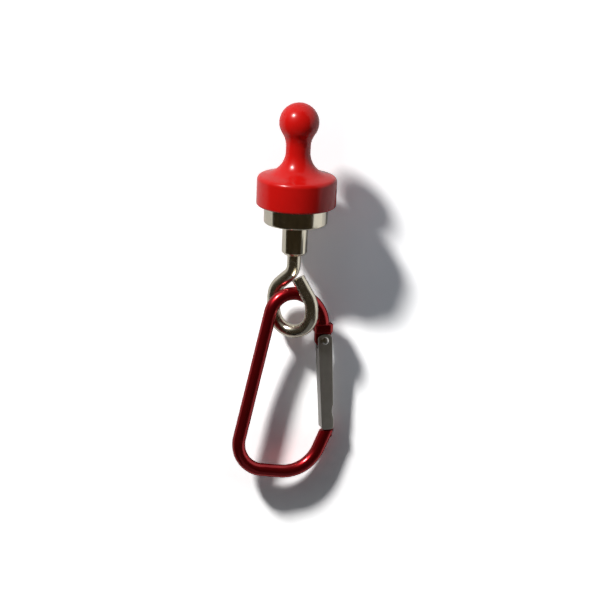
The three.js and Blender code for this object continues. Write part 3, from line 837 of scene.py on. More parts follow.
@made_once
def bright_nickel_plate(tree, paint):
    """Barrel-plated bright nickel on pressed and turned steel."""
    # The plate mirrors its surroundings with a warm tone; tumbling leaves faint clouds and hair scratches
    spot = add(tree, "ShaderNodeTexCoord").outputs["Object"]
    clouds = add(tree, "ShaderNodeTexNoise", {"Vector": spot, "Scale": WAVES_PER_METRE / 2.2, "Detail": 3.0})
    drawn_out = add(
        tree, "ShaderNodeMapping", {"Vector": spot, "Scale": (1.0, 1.0, 0.08), "Rotation": (0.5, 0.3, 0.0)}
    )
    hair = add(
        tree,
        "ShaderNodeTexNoise",
        {"Vector": drawn_out.outputs[0], "Scale": WAVES_PER_METRE / 0.12, "Detail": 2.0},
    )
    shade(
        tree,
        paint,
        (clouds.outputs[0], 0.9, 1.05),
        (clouds.outputs[0], 0.1, 0.2),
        (hair.outputs[0], 0.18, 0.006 * MM),
        {"Metallic": 1.0},
    )


@made_once
def drawn_nickel_wire(tree, paint):
    """Drawn steel wire, bent cold and nickel plated."""
    # Die lines 0.15 mm apart run along the wire under the plate and spread each glint across it
    flow = add(tree, "ShaderNodeAttribute", attribute_name="flow").outputs["Vector"]
    drawn_out = add(tree, "ShaderNodeMapping", {"Vector": flow, "Scale": (60.0, 11.0, 11.0)})
    lines = add(
        tree,
        "ShaderNodeTexNoise",
        {"Vector": drawn_out.outputs[0], "Scale": 1.0, "Detail": 3.0, "Roughness": 0.6},
    )
    spot = add(tree, "ShaderNodeTexCoord").outputs["Object"]
    clouds = add(tree, "ShaderNodeTexNoise", {"Vector": spot, "Scale": WAVES_PER_METRE / 1.6, "Detail": 3.0})
    shade(
        tree,
        paint,
        (clouds.outputs[0], 0.88, 1.04),
        (clouds.outputs[0], 0.2, 0.32),
        (lines.outputs[0], 0.3, 0.01 * MM),
        {"Metallic": 1.0},
    )


@made_once
def red_anodised_aluminium(tree, paint):
    """Drawn aluminium bar, bent, chemically brightened and anodised red."""
    # The dyed oxide tints what the metal mirrors, and its sealed face adds a paler gloss over drawing lines
    flow = add(tree, "ShaderNodeAttribute", attribute_name="flow").outputs["Vector"]
    drawn_out = add(tree, "ShaderNodeMapping", {"Vector": flow, "Scale": (45.0, 9.0, 9.0)})
    lines = add(
        tree,
        "ShaderNodeTexNoise",
        {"Vector": drawn_out.outputs[0], "Scale": 1.0, "Detail": 3.0, "Roughness": 0.6},
    )
    spot = add(tree, "ShaderNodeTexCoord").outputs["Object"]
    dye = add(tree, "ShaderNodeTexNoise", {"Vector": spot, "Scale": WAVES_PER_METRE / 4.0, "Detail": 3.0})
    grain = add(
        tree,
        "ShaderNodeTexNoise",
        {"Vector": spot, "Scale": WAVES_PER_METRE / 0.25, "Detail": 3.0, "Roughness": 0.65},
    )
    relief = add(
        tree, "ShaderNodeMath", {0: grain.outputs[0], 1: 0.5, 2: lines.outputs[0]}, operation="MULTIPLY_ADD"
    )
    shade(
        tree,
        paint,
        (dye.outputs[0], 0.82, 1.12),
        (grain.outputs[0], 0.24, 0.36),
        (relief.outputs[0], 0.3, 0.012 * MM),
        {
            "Metallic": 0.9,
            "Specular Tint": rgba(linear(0xCE6169)),
            "Coat Weight": 0.55,
            "Coat Roughness": 0.18,
            "Coat IOR": 1.5,
        },
    )


@made_once
def rolled_aluminium_sheet(tree, paint, carabiner, gate):
    """Bare aluminium sheet, blanked and bent to a channel."""
    # Rolling lines 0.2 mm apart run along the gate and draw its reflections out into soft lengthwise bands
    spot = add(tree, "ShaderNodeTexCoord").outputs["Object"]
    level = add(
        tree,
        "ShaderNodeVectorRotate",
        {"Vector": spot, "Angle": -carabiner.yaw, "Axis": (0.0, 0.0, 1.0)},
        rotation_type="AXIS_ANGLE",
    )
    upright = add(
        tree,
        "ShaderNodeVectorRotate",
        {"Vector": level.outputs[0], "Angle": gate.tilt, "Axis": (0.0, 1.0, 0.0)},
        rotation_type="AXIS_ANGLE",
    )
    drawn_out = add(tree, "ShaderNodeMapping", {"Vector": upright.outputs[0], "Scale": (1.0, 1.0, 0.03)})
    lines = add(
        tree,
        "ShaderNodeTexNoise",
        {"Vector": drawn_out.outputs[0], "Scale": WAVES_PER_METRE / 0.2, "Detail": 4.0, "Roughness": 0.65},
    )
    clouds = add(tree, "ShaderNodeTexNoise", {"Vector": spot, "Scale": WAVES_PER_METRE / 2.5, "Detail": 3.0})
    shade(
        tree,
        paint,
        (clouds.outputs[0], 0.85, 1.05),
        (lines.outputs[0], 0.36, 0.52),
        (lines.outputs[0], 0.35, 0.01 * MM),
        {"Metallic": 1.0},
    )


@made_once
def pressed_aluminium_rivet(tree, paint):
    """Soft aluminium rivet, its heads closed in a press."""
    # The press leaves small dents and dull spots about 0.35 mm across on a bright dome
    spot = add(tree, "ShaderNodeTexCoord").outputs["Object"]
    dents = add(tree, "ShaderNodeTexNoise", {"Vector": spot, "Scale": WAVES_PER_METRE / 0.35, "Detail": 2.0})
    shade(
        tree,
        paint,
        (dents.outputs[0], 0.8, 1.05),
        (dents.outputs[0], 0.18, 0.38),
        (dents.outputs[0], 0.4, 0.03 * MM),
        {"Metallic": 1.0},
    )


@made_once
def nickel_plated_magnet(tree, paint):
    """Sintered neodymium disc, tumbled and nickel plated."""
    # The plate over sintered metal is bright with a slight orange peel about 0.4 mm across
    spot = add(tree, "ShaderNodeTexCoord").outputs["Object"]
    peel = add(tree, "ShaderNodeTexNoise", {"Vector": spot, "Scale": WAVES_PER_METRE / 0.4, "Detail": 2.0})
    clouds = add(tree, "ShaderNodeTexNoise", {"Vector": spot, "Scale": WAVES_PER_METRE / 3.0, "Detail": 2.0})
    shade(
        tree,
        paint,
        (clouds.outputs[0], 0.92, 1.04),
        (clouds.outputs[0], 0.14, 0.24),
        (peel.outputs[0], 0.25, 0.01 * MM),
        {"Metallic": 1.0},
    )


@made_once
def ground_ferrite(tree, paint):
    """Sintered ferrite, its face ground flat."""
    # Grinding leaves parallel marks 0.15 mm apart and pulled grains on a dark, dull ceramic
    spot = add(tree, "ShaderNodeTexCoord").outputs["Object"]
    drawn_out = add(tree, "ShaderNodeMapping", {"Vector": spot, "Scale": (0.04, 1.0, 1.0)})
    marks = add(
        tree,
        "ShaderNodeTexNoise",
        {"Vector": drawn_out.outputs[0], "Scale": WAVES_PER_METRE / 0.15, "Detail": 3.0},
    )
    grains = add(
        tree, "ShaderNodeTexVoronoi", {"Vector": spot, "Scale": WAVES_PER_METRE / 0.25}, feature="F1"
    )
    shade(
        tree,
        paint,
        (grains.outputs["Distance"], 0.75, 1.3),
        (marks.outputs[0], 0.45, 0.7),
        (marks.outputs[0], 0.4, 0.02 * MM),
        {"IOR": 1.8},
    )


@made_once
def cast_resin(tree, paint):
    """Epoxy resin, cast round the magnet."""
    # The cured surface is level and half gloss, with small pits where bubbles broke
    spot = add(tree, "ShaderNodeTexCoord").outputs["Object"]
    pits = add(tree, "ShaderNodeTexVoronoi", {"Vector": spot, "Scale": WAVES_PER_METRE / 0.5}, feature="F1")
    flow = add(tree, "ShaderNodeTexNoise", {"Vector": spot, "Scale": WAVES_PER_METRE / 1.2, "Detail": 2.0})
    deep = add(
        tree, "ShaderNodeMapRange", {"Value": pits.outputs["Distance"], "From Max": 0.25, "To Min": 0.0}
    )
    shade(
        tree,
        paint,
        (flow.outputs[0], 0.8, 1.2),
        (flow.outputs[0], 0.3, 0.45),
        (deep.outputs[0], 0.3, 0.03 * MM),
        {"IOR": 1.55},
    )


@made_once
def drawn_spring_steel(tree, paint):
    """Hard drawn spring steel with a trace of oil."""
    # Drawn wire is grey and half bright, with marks about 0.08 mm wide
    spot = add(tree, "ShaderNodeTexCoord").outputs["Object"]
    drawn_out = add(tree, "ShaderNodeMapping", {"Vector": spot, "Scale": (1.0, 1.0, 0.2)})
    marks = add(
        tree,
        "ShaderNodeTexNoise",
        {"Vector": drawn_out.outputs[0], "Scale": WAVES_PER_METRE / 0.08, "Detail": 2.0},
    )
    shade(tree, paint, (marks.outputs[0], 0.8, 1.05), (marks.outputs[0], 0.22, 0.4), None, {"Metallic": 1.0})


@made_once
def matt_backdrop_paper(tree, stage):
    """Matt coated paper of the backdrop."""
    # Even white with a fibre grain of 0.4 mm that is too fine to see, under a level that paints light and
    # shade onto it
    spot = add(tree, "ShaderNodeTexCoord").outputs["Object"]
    fibre = add(tree, "ShaderNodeTexNoise", {"Vector": spot, "Scale": WAVES_PER_METRE / 0.4, "Detail": 2.0})
    tint = add(
        tree,
        "ShaderNodeMix",
        {"Factor": fibre.outputs[0], 6: rgba(stage.white, 0.985), 7: rgba(stage.white, 1.0)},
        data_type="RGBA",
    )
    path = add(tree, "ShaderNodeLightPath")
    # Painted light and painted shade go into the paper's brightness here
    level = paper_level(tree, spot, path, stage)
    shown = add(tree, "ShaderNodeVectorMath", {0: tint.outputs[2], "Scale": level}, operation="SCALE")
    searched, hidden = piece_behind(tree, spot, path, stage)
    # The sheet also clears where it is seen edge-on or from behind
    slant = add(tree, "ShaderNodeLayerWeight")
    edge_on = add(
        tree, "ShaderNodeMapRange", {"Value": slant.outputs["Facing"], "From Min": 0.6, "From Max": 0.72}
    )
    side = add(tree, "ShaderNodeNewGeometry")
    turned_away = add(
        tree, "ShaderNodeMath", {0: side.outputs["Backfacing"], 1: edge_on.outputs[0]}, operation="MAXIMUM"
    )
    # Each mix has shaders of its own, so that the search behind the sheet is skipped where it isn't asked for
    matt = [add(tree, "ShaderNodeBsdfDiffuse", {"Color": shown.outputs[0]}).outputs[0] for _ in range(2)]
    clear = [add(tree, "ShaderNodeBsdfTransparent").outputs[0] for _ in range(2)]
    mixed = add(tree, "ShaderNodeMixShader", {0: hidden, 1: matt[0], 2: clear[0]})
    mixed = add(tree, "ShaderNodeMixShader", {0: searched, 1: matt[1], 2: mixed.outputs[0]})
    mixed = add(tree, "ShaderNodeMixShader", {0: turned_away.outputs[0], 1: mixed.outputs[0], 2: clear[1]})
    add(tree, "ShaderNodeOutputMaterial", {"Surface": mixed.outputs[0]})


def paper_level(tree, spot, path, stage):
    """Brightness of the paper: paler to the camera than as light, with painted light and painted shade in it.
    """
    place_of = add(tree, "ShaderNodeSeparateXYZ", {"Vector": spot})
    middle = (0.0, stage.sheet_near, -12 * MM)
    away = add(tree, "ShaderNodeVectorMath", {0: spot, 1: middle}, operation="DISTANCE").outputs["Value"]
    ramps = []
    # Each row is a measure in metres, where its ramp starts and ends in millimetres, and the values there
    for source, start, end, first, last, curve in (
        (away, 62, 120, stage.lift, 2 * stage.lift, "LINEAR"),
        (place_of.outputs["Z"], -52, -24, 1.32, 1.0, "LINEAR"),
        (place_of.outputs["X"], 11, 17, 1.0, 1.075, "LINEAR"),
        (place_of.outputs["X"], -60, -40, 0.05, stage.mirrored_lift, "SMOOTHSTEP"),
        (place_of.outputs["Z"], -95, -65, 0.2, 1.0, "SMOOTHSTEP"),
        (place_of.outputs["Z"], -160, -90, 0.2, 1.0, "LINEAR"),
    ):
        limits = {"From Min": start * MM, "From Max": end * MM, "To Min": first, "To Max": last}
        ramp = add(tree, "ShaderNodeMapRange", {"Value": source, **limits}, interpolation_type=curve)
        ramps.append(ramp.outputs[0])
    outer, lower, right, painted_shade_left_in_mirrors, painted_shade_foot_in_mirrors, painted_shade_floor_as_light = ramps
    # Painted light: to the camera the paper is paler far from the middle, low down and on the right, where
    # the lamp lights it less
    shown = add(tree, "ShaderNodeMath", {0: outer, 1: lower}, operation="MULTIPLY")
    shown = add(tree, "ShaderNodeMath", {0: shown.outputs[0], 1: right}, operation="MULTIPLY")
    # Painted shade: in mirrors the paper is darker at its left and at its foot
    mirrored = add(tree, "ShaderNodeMath", {0: painted_shade_left_in_mirrors, 1: painted_shade_foot_in_mirrors}, operation="MULTIPLY")
    # Painted shade: as bounced light for other surfaces the paper is darker low down towards the floor
    level = add(
        tree,
        "ShaderNodeMix",
        {"Factor": path.outputs["Is Glossy Ray"], "A": painted_shade_floor_as_light, "B": mirrored.outputs[0]},
    )
    seen = add(
        tree,
        "ShaderNodeMath",
        {0: path.outputs["Is Camera Ray"], 1: path.outputs["Is Transmission Ray"]},
        operation="MAXIMUM",
    )
    level = add(
        tree, "ShaderNodeMix", {"Factor": seen.outputs[0], "A": level.outputs[0], "B": shown.outputs[0]}
    )
    return level.outputs[0]


def piece_behind(tree, spot, path, stage):
    """Where the camera's view is searched for a piece behind the sheet, and where the search finds one."""
    # The sheet's own curve stops as many rays in both counts, so their difference is what the pieces stop
    search = {"Distance": 18 * MM}
    near_by = 46 * MM
    own = add(tree, "ShaderNodeAmbientOcclusion", search, inside=True, only_local=True, samples=24)
    every = add(tree, "ShaderNodeAmbientOcclusion", search, inside=True, samples=24)
    covered = add(
        tree, "ShaderNodeMath", {0: own.outputs["AO"], 1: every.outputs["AO"]}, operation="SUBTRACT"
    )
    hidden = add(
        tree, "ShaderNodeMapRange", {"Value": covered.outputs[0], "From Min": 0.0, "From Max": 0.05}
    )
    middle = (0.0, stage.sheet_gate, stage.height_gate)
    away = add(tree, "ShaderNodeVectorMath", {0: spot, 1: middle}, operation="DISTANCE")
    near = add(tree, "ShaderNodeMath", {0: away.outputs["Value"], 1: near_by}, operation="LESS_THAN")
    searched = add(
        tree, "ShaderNodeMath", {0: near.outputs[0], 1: path.outputs["Is Camera Ray"]}, operation="MULTIPLY"
    )
    return searched.outputs[0], hidden.outputs[0]


@made_once
def black_flock(tree):
    """Flocked black card."""
    # The pile takes nearly all the light that falls on it
    surface = add(tree, "ShaderNodeBsdfDiffuse", {"Color": rgba(linear(0x191919))})
    add(tree, "ShaderNodeOutputMaterial", {"Surface": surface.outputs[0]})


@made_once
def painted_reflection_glow(tree, stage):
    """Painted reflection: a dark brown glow that only mirrors see, standing for the dark room round the hook.
    """
    # Painted reflection: cloudy brown that pales to a painted pale band on the right and a painted highlight
    # halo round the window, so dark cores in metal end softly
    spot = add(tree, "ShaderNodeTexCoord").outputs["Object"]
    clouds = add(tree, "ShaderNodeTexNoise", {"Vector": spot, "Scale": WAVES_PER_METRE / 60.0})
    tint = add(
        tree,
        "ShaderNodeMix",
        {"Factor": clouds.outputs[0], 6: rgba(linear(0x1E1913)), 7: rgba(linear(0x433A2A))},
        data_type="RGBA",
    )
    side = add(tree, "ShaderNodeSeparateXYZ", {"Vector": spot})
    turn = add(tree, "ShaderNodeMath", {0: side.outputs[1], 1: side.outputs[0]}, operation="ARCTAN2")
    towards = add(tree, "ShaderNodeVectorMath", {0: spot, 1: HOOK_MIDDLE}, operation="SUBTRACT")
    towards = add(tree, "ShaderNodeVectorMath", {0: towards.outputs[0]}, operation="NORMALIZE")
    facing = add(
        tree, "ShaderNodeVectorMath", {0: towards.outputs[0], 1: TOWARDS_LAMP}, operation="DOT_PRODUCT"
    )
    shown = tint
    for source, start, end, pale in (
        (turn.outputs[0], stage.fade_start, stage.fade_end, 0xE7E7E7),
        (facing.outputs["Value"], math.cos(stage.halo), math.cos(stage.window), 0xBBB8B3),
    ):
        ramp = add(
            tree,
            "ShaderNodeMapRange",
            {"Value": source, "From Min": start, "From Max": end},
            interpolation_type="SMOOTHSTEP",
        )
        sockets = {"Factor": ramp.outputs[0], 6: shown.outputs[2], 7: rgba(linear(pale))}
        shown = add(tree, "ShaderNodeMix", sockets, data_type="RGBA")
    # It glows with its own colour, though it is no lamp, and only mirrors see it
    glow = add(tree, "ShaderNodeEmission", {"Color": shown.outputs[2], "Strength": 1.0})
    add(tree, "ShaderNodeOutputMaterial", {"Surface": glow.outputs[0]})


# Operators, one for each piece


class HOOK_OT_skittle(bpy.types.Operator):
    """Turn the red skittle with its pocket"""

    bl_idname = "hook.skittle"
    bl_label = "Skittle"

    def execute(self, context):
        skittle = context.scene.hook_skittle
        slope = math.degrees(skittle.top_slope)
        reach = skittle.knob + skittle.knob_fillet
        waist = skittle.neck + skittle.knob_fillet
        drop = math.sqrt(reach**2 - waist**2)
        meet = math.degrees(math.asin(drop / reach))
        bottom = skittle.seat
        roof = bottom + skittle.pocket_depth
        pocket, lip, edge = skittle.pocket_radius, skittle.pocket_lip, skittle.bottom_edge
        profile = [(0.0, roof), (pocket - lip, roof), (pocket, roof - lip)]
        profile += [(pocket, bottom + lip), (pocket + lip, bottom)]
        profile += arc(skittle.radius - edge, bottom + edge, edge, -90, 0, 8)
        side = skittle.radius - skittle.shoulder
        profile += arc(side, skittle.side_height, skittle.shoulder, 0, 90 - slope, 14)
        flare = skittle.neck + skittle.flare
        profile += arc(flare, skittle.flare_height, skittle.flare, 270 - slope, 180, 32)
        fillet = arc(waist, skittle.knob_height - drop, skittle.knob_fillet, 180, 180 - meet, 12)
        profile += fillet[1:]
        profile += arc(0.0, skittle.knob_height, skittle.knob, -meet, 90, 48)[1:-1]
        profile += [(0.0, skittle.knob_height + skittle.knob)]
        piece = place(turned("skittle", profile, skittle.sides), "skittle")
        dress(piece, gloss_moulded_abs(skittle.red), "grip", ["grip_body"])
        repaint("grip_magnet", nickel_plated_magnet(context.scene.hook_pot.nickel))
        return {"FINISHED"}


class HOOK_OT_pot(bpy.types.Operator):
    """Turn the steel cup of the pot magnet and finish what it holds"""

    bl_idname = "hook.pot"
    bl_label = "Pot magnet"

    def execute(self, context):
        pot = context.scene.hook_pot
        inner = pot.radius - pot.wall
        floor = pot.floor - pot.height
        profile = [(pot.hole, -pot.height)]
        profile += arc(pot.radius - pot.lower_edge, pot.lower_edge - pot.height, pot.lower_edge, -90, 0, 10)
        profile += arc(pot.radius - pot.rim, -pot.rim, pot.rim, 0, 90, 5)
        profile += arc(inner + pot.rim / 2, -pot.rim / 2, pot.rim / 2, 90, 180, 4)
        profile += [(inner, floor), (pot.countersink, floor), (pot.hole, floor - pot.countersink_depth)]
        piece = place(turned("pot_cup", profile, pot.sides, closed=True), "pot_cup")
        dress(piece, bright_nickel_plate(pot.nickel), "pot", ["pot_shell"])
        repaint("pot_magnet", ground_ferrite(pot.ferrite))
        repaint("pot_resin_ring", cast_resin(pot.resin))
        return {"FINISHED"}


class HOOK_OT_bush(bpy.types.Operator):
    """Turn the threaded bush under the pot magnet"""

    bl_idname = "hook.bush"
    bl_label = "Bush"

    def execute(self, context):
        pot = context.scene.hook_pot
        bottom = -pot.height - pot.bush_length
        bore_end = bottom + pot.bore_depth
        head_top = pot.floor - pot.height
        top = -pot.height - pot.spigot_gap
        low_break, edge_break, run_out = 0.06 * MM, 0.05 * MM, 0.08 * MM
        chamfer = pot.bush_radius - pot.bush_edge
        profile = [(0.0, bore_end), (pot.bore_radius, bore_end - pot.bore_radius / 2)]
        profile += [(pot.bore_radius, bottom + pot.bore_edge), (pot.bore_radius + pot.bore_edge, bottom)]
        profile += [(chamfer - low_break, bottom), (chamfer + low_break, bottom + low_break)]
        profile += [(pot.bush_radius - edge_break, bottom + pot.bush_edge - edge_break)]
        profile += [(pot.bush_radius, bottom + pot.bush_edge + run_out)]
        profile += [(pot.bush_radius, top - edge_break), (pot.bush_radius - edge_break, top)]
        profile += [(pot.spigot, top), (pot.spigot, head_top - pot.countersink_depth)]
        profile += [(pot.head, head_top), (0.0, head_top)]
        piece = place(turned("bush", profile, pot.sides), "bush")
        dress(piece, bright_nickel_plate(pot.nickel), "pot", ["threaded_bush"])
        return {"FINISHED"}


class HOOK_OT_eye(bpy.types.Operator):
    """Bend the wire eye"""

    bl_idname = "hook.eye"
    bl_label = "Wire eye"

    def execute(self, context):
        eye = context.scene.hook_eye
        material = drawn_nickel_wire(context.scene.hook_pot.nickel)
        mesh = swept("wire_eye", eye_line(eye), eye.wire, eye.sides, material, eye.end_round)
        piece = place(finish_mesh(mesh), "wire_eye")
        dress(piece, material, "eye", ["eye_hook"])
        return {"FINISHED"}


class HOOK_OT_carabiner(bpy.types.Operator):
    """Bend the carabiner's bar and fit its shoulder, lug and nose"""

    bl_idname = "hook.carabiner"
    bl_label = "Carabiner bar"

    def execute(self, context):
        scene = context.scene
        carabiner = scene.hook_carabiner
        gate = scene.hook_gate
        spring = scene.hook_spring
        material = red_anodised_aluminium(carabiner.red)
        level = at_pivot(carabiner, gate)
        tilted = at_pivot(carabiner, gate, tilted=True)
        bar = swept("carabiner_bar", frame_line(carabiner), carabiner.bar, carabiner.sides, material)
        reach = carabiner.bar * 4
        nose_low = (-reach, -reach, -gate.bottom - carabiner.nose_gap)
        nose_cut = box("nose_cut", nose_low, (reach, reach, reach - gate.bottom))
        block = plate(
            "shoulder",
            rounded_rectangle(
                -carabiner.shoulder_width / 2 - carabiner.shoulder_shift,
                carabiner.shoulder_width / 2 - carabiner.shoulder_shift,
                -carabiner.shoulder_thickness / 2,
                carabiner.shoulder_thickness / 2,
                carabiner.shoulder_corner,
            ),
            carabiner.shoulder_height,
        )
        laid_flat = Matrix.Rotation(math.radians(90), 4, "X")
        middle = Matrix.Translation((0, 0, carabiner.shoulder_above + carabiner.shoulder_height / 2))
        block = bevelled(moved(block, middle @ laid_flat), carabiner.shoulder_edge, 4)
        lug_edge, tongue_edge = 0.12 * MM, 0.15 * MM
        root, overlap = 0.5 * MM, 0.4 * MM
        top = carabiner.shoulder_above + root
        narrow = carabiner.lug_inner / carabiner.lug_outer
        lug_outline = [(carabiner.lug_outer, top), (carabiner.lug_outer, 0.0)]
        lug_outline += arc(0, 0, carabiner.lug_outer, 0, -90, 16)[1:]
        lug_outline += [(x * narrow, z) for x, z in arc(0, 0, carabiner.lug_outer, -90, -180, 16)[1:]]
        lug_outline += [(-carabiner.lug_inner, top)]
        lug = bevelled(plate("lug", lug_outline, carabiner.lug_thickness), lug_edge, 2)
        tongue = plate(
            "tongue",
            rounded_rectangle(
                carabiner.tongue_inner,
                carabiner.tongue_outer,
                -gate.bottom - carabiner.tongue_root,
                carabiner.tongue_reach - gate.bottom,
                carabiner.tongue_corner,
            ),
            carabiner.tongue_thickness,
        )
        tongue = bevelled(tongue, tongue_edge, 2)
        long = carabiner.lug_thickness * 2
        hole = drilled("rivet_hole", gate.rivet_hole, -long, long, "Y")
        floor, ceiling = spring.pocket_floor, spring.pocket_floor + spring.pocket_height
        pin_hole = drilled("pin_hole", spring.pin_hole, -2 * carabiner.lug_inner, floor + overlap)
        pocket = drilled("pocket", spring.pocket_radius, floor, ceiling)
        aside = Matrix.Translation((-spring.offset, 0, 0))
        mesh = combined(
            bar,
            [
                ("DIFFERENCE", moved(nose_cut, tilted)),
                ("UNION", moved(block, level)),
                ("UNION", moved(lug, level)),
                ("UNION", moved(tongue, tilted)),
                ("DIFFERENCE", moved(hole, level)),
                ("DIFFERENCE", moved(pin_hole, level @ aside)),
                ("DIFFERENCE", moved(pocket, level @ aside)),
            ],
        )
        piece = place(finish_mesh(moved(mesh, in_plane(carabiner)), sharp_degrees=28.0), "carabiner_bar")
        dress(piece, material, "carabiner", ["carabiner_frame"])
        return {"FINISHED"}


def gate_outline(gate):
    """Outline of the gate about its pivot, with the shallow finger notch on its outer side."""
    span = gate.bottom + gate.top

    def outer(below):
        return gate.top_outer + (gate.bottom_outer - gate.top_outer) * (below + gate.top) / span

    corner, low = gate.bottom_corner, gate.bottom_corner - gate.bottom
    points = arc(corner - gate.bottom_inner, low, corner, 180, 270, 10)
    points += arc(gate.bottom_outer - corner, low, corner, 270, 360, 10)
    steps = 28
    for k in range(steps + 1):
        along = k / steps
        below = gate.notch_centre + gate.notch_length * (0.5 - along)
        dip = gate.notch_depth * math.sin(math.pi * along) ** 2
        points.append((outer(below) - dip, -below))
    corner, high = gate.top_corner, gate.top - gate.top_corner
    points += arc(gate.top_outer - corner, high, corner, 0, 90, 12)
    points += arc(corner - gate.top_inner, high, corner, 90, 180, 12)
    return points


class HOOK_OT_gate(bpy.types.Operator):
    """Form the gate's channel and its rivet"""

    bl_idname = "hook.gate"
    bl_label = "Gate and rivet"

    def execute(self, context):
        scene = context.scene
        carabiner = scene.hook_carabiner
        gate = scene.hook_gate

        def rolled(first, last):
            """Share of the rolled round: none for edges through the thickness, the bend's beside the web."""
            if first.y * last.y < 0:
                return 0.0
            return 1.0 if min(first.x, last.x) > 0 else gate.bend / gate.rolled

        body = plate("gate_channel", gate_outline(gate), gate.thickness)
        body = bevelled(body, gate.rolled, 6, share_of=rolled)
        inside = gate.thickness - gate.sheet * 2
        far, below, above = gate.top_outer * 2, gate.bottom * 2, gate.top * 2
        slant = (gate.top_inner - gate.bottom_inner) / (gate.bottom + gate.top)
        web_low = gate.sheet - gate.top_inner + slant * (below + gate.top)
        web_high = gate.sheet - gate.top_inner + slant * (gate.top - above)
        hollow = plate("hollow", [(web_low, -below), (far, -below), (far, above), (web_high, above)], inside)
        web_cut = box("web_cut", (-gate.top_inner * 2, -inside / 2, -gate.web_top), (0.0, inside / 2, above))
        hole = drilled("gate_hole", gate.rivet_hole, -gate.thickness, gate.thickness, "Y")
        mesh = combined(body, [("DIFFERENCE", hollow), ("DIFFERENCE", web_cut), ("DIFFERENCE", hole)])
        stand = in_plane(carabiner) @ at_pivot(carabiner, gate, tilted=True)
        piece = place(finish_mesh(moved(mesh, stand), sharp_degrees=28.0), "gate_channel")
        sheet = rolled_aluminium_sheet(gate.aluminium, carabiner, gate)
        dress(piece, sheet, "gate", ["gate"])
        face = gate.thickness / 2 + gate.rivet_gap
        dome = [(gate.rivet_head * x, face + gate.rivet_dome * y) for x, y in arc(0, 0, 1.0, 0, 90, 10)]
        dome[-1] = (0.0, face + gate.rivet_dome)
        shaft = [(gate.rivet_shaft, -face), (gate.rivet_shaft, face)]
        profile = [(r, -h) for r, h in reversed(dome)] + shaft + dome
        rivet = turned("rivet", profile, sides=48, axis="Y")
        piece = place(moved(rivet, in_plane(carabiner) @ at_pivot(carabiner, gate)), "rivet")
        dress(piece, pressed_aluminium_rivet(gate.aluminium), "gate", ["gate_rivet"])
        return {"FINISHED"}


class HOOK_OT_spring(bpy.types.Operator):
    """Wind the closing spring and finish the push pin"""

    bl_idname = "hook.spring"
    bl_label = "Spring and pin"

    def execute(self, context):
        scene = context.scene
        spring = scene.hook_spring
        carabiner = scene.hook_carabiner
        material = drawn_spring_steel(spring.steel)
        stand = in_plane(carabiner) @ at_pivot(carabiner, scene.hook_gate)
        values = {
            "Coil radius": spring.coil,
            "Wire radius": spring.wire,
            "Height": spring.top - spring.bottom,
            "Turns": float(spring.turns),
            "Place": tuple(stand @ Vector((-spring.offset, 0, spring.bottom))),
            "Material": material,
        }
        mesh = grown("closing_spring", coil_tree("Coil spring"), values)
        piece = place(finish_mesh(mesh, sharp_degrees=50.0), "closing_spring")
        dress(piece, material, "carabiner", ["gate_spring"])
        repaint("gate_push_pin", material)
        return {"FINISHED"}


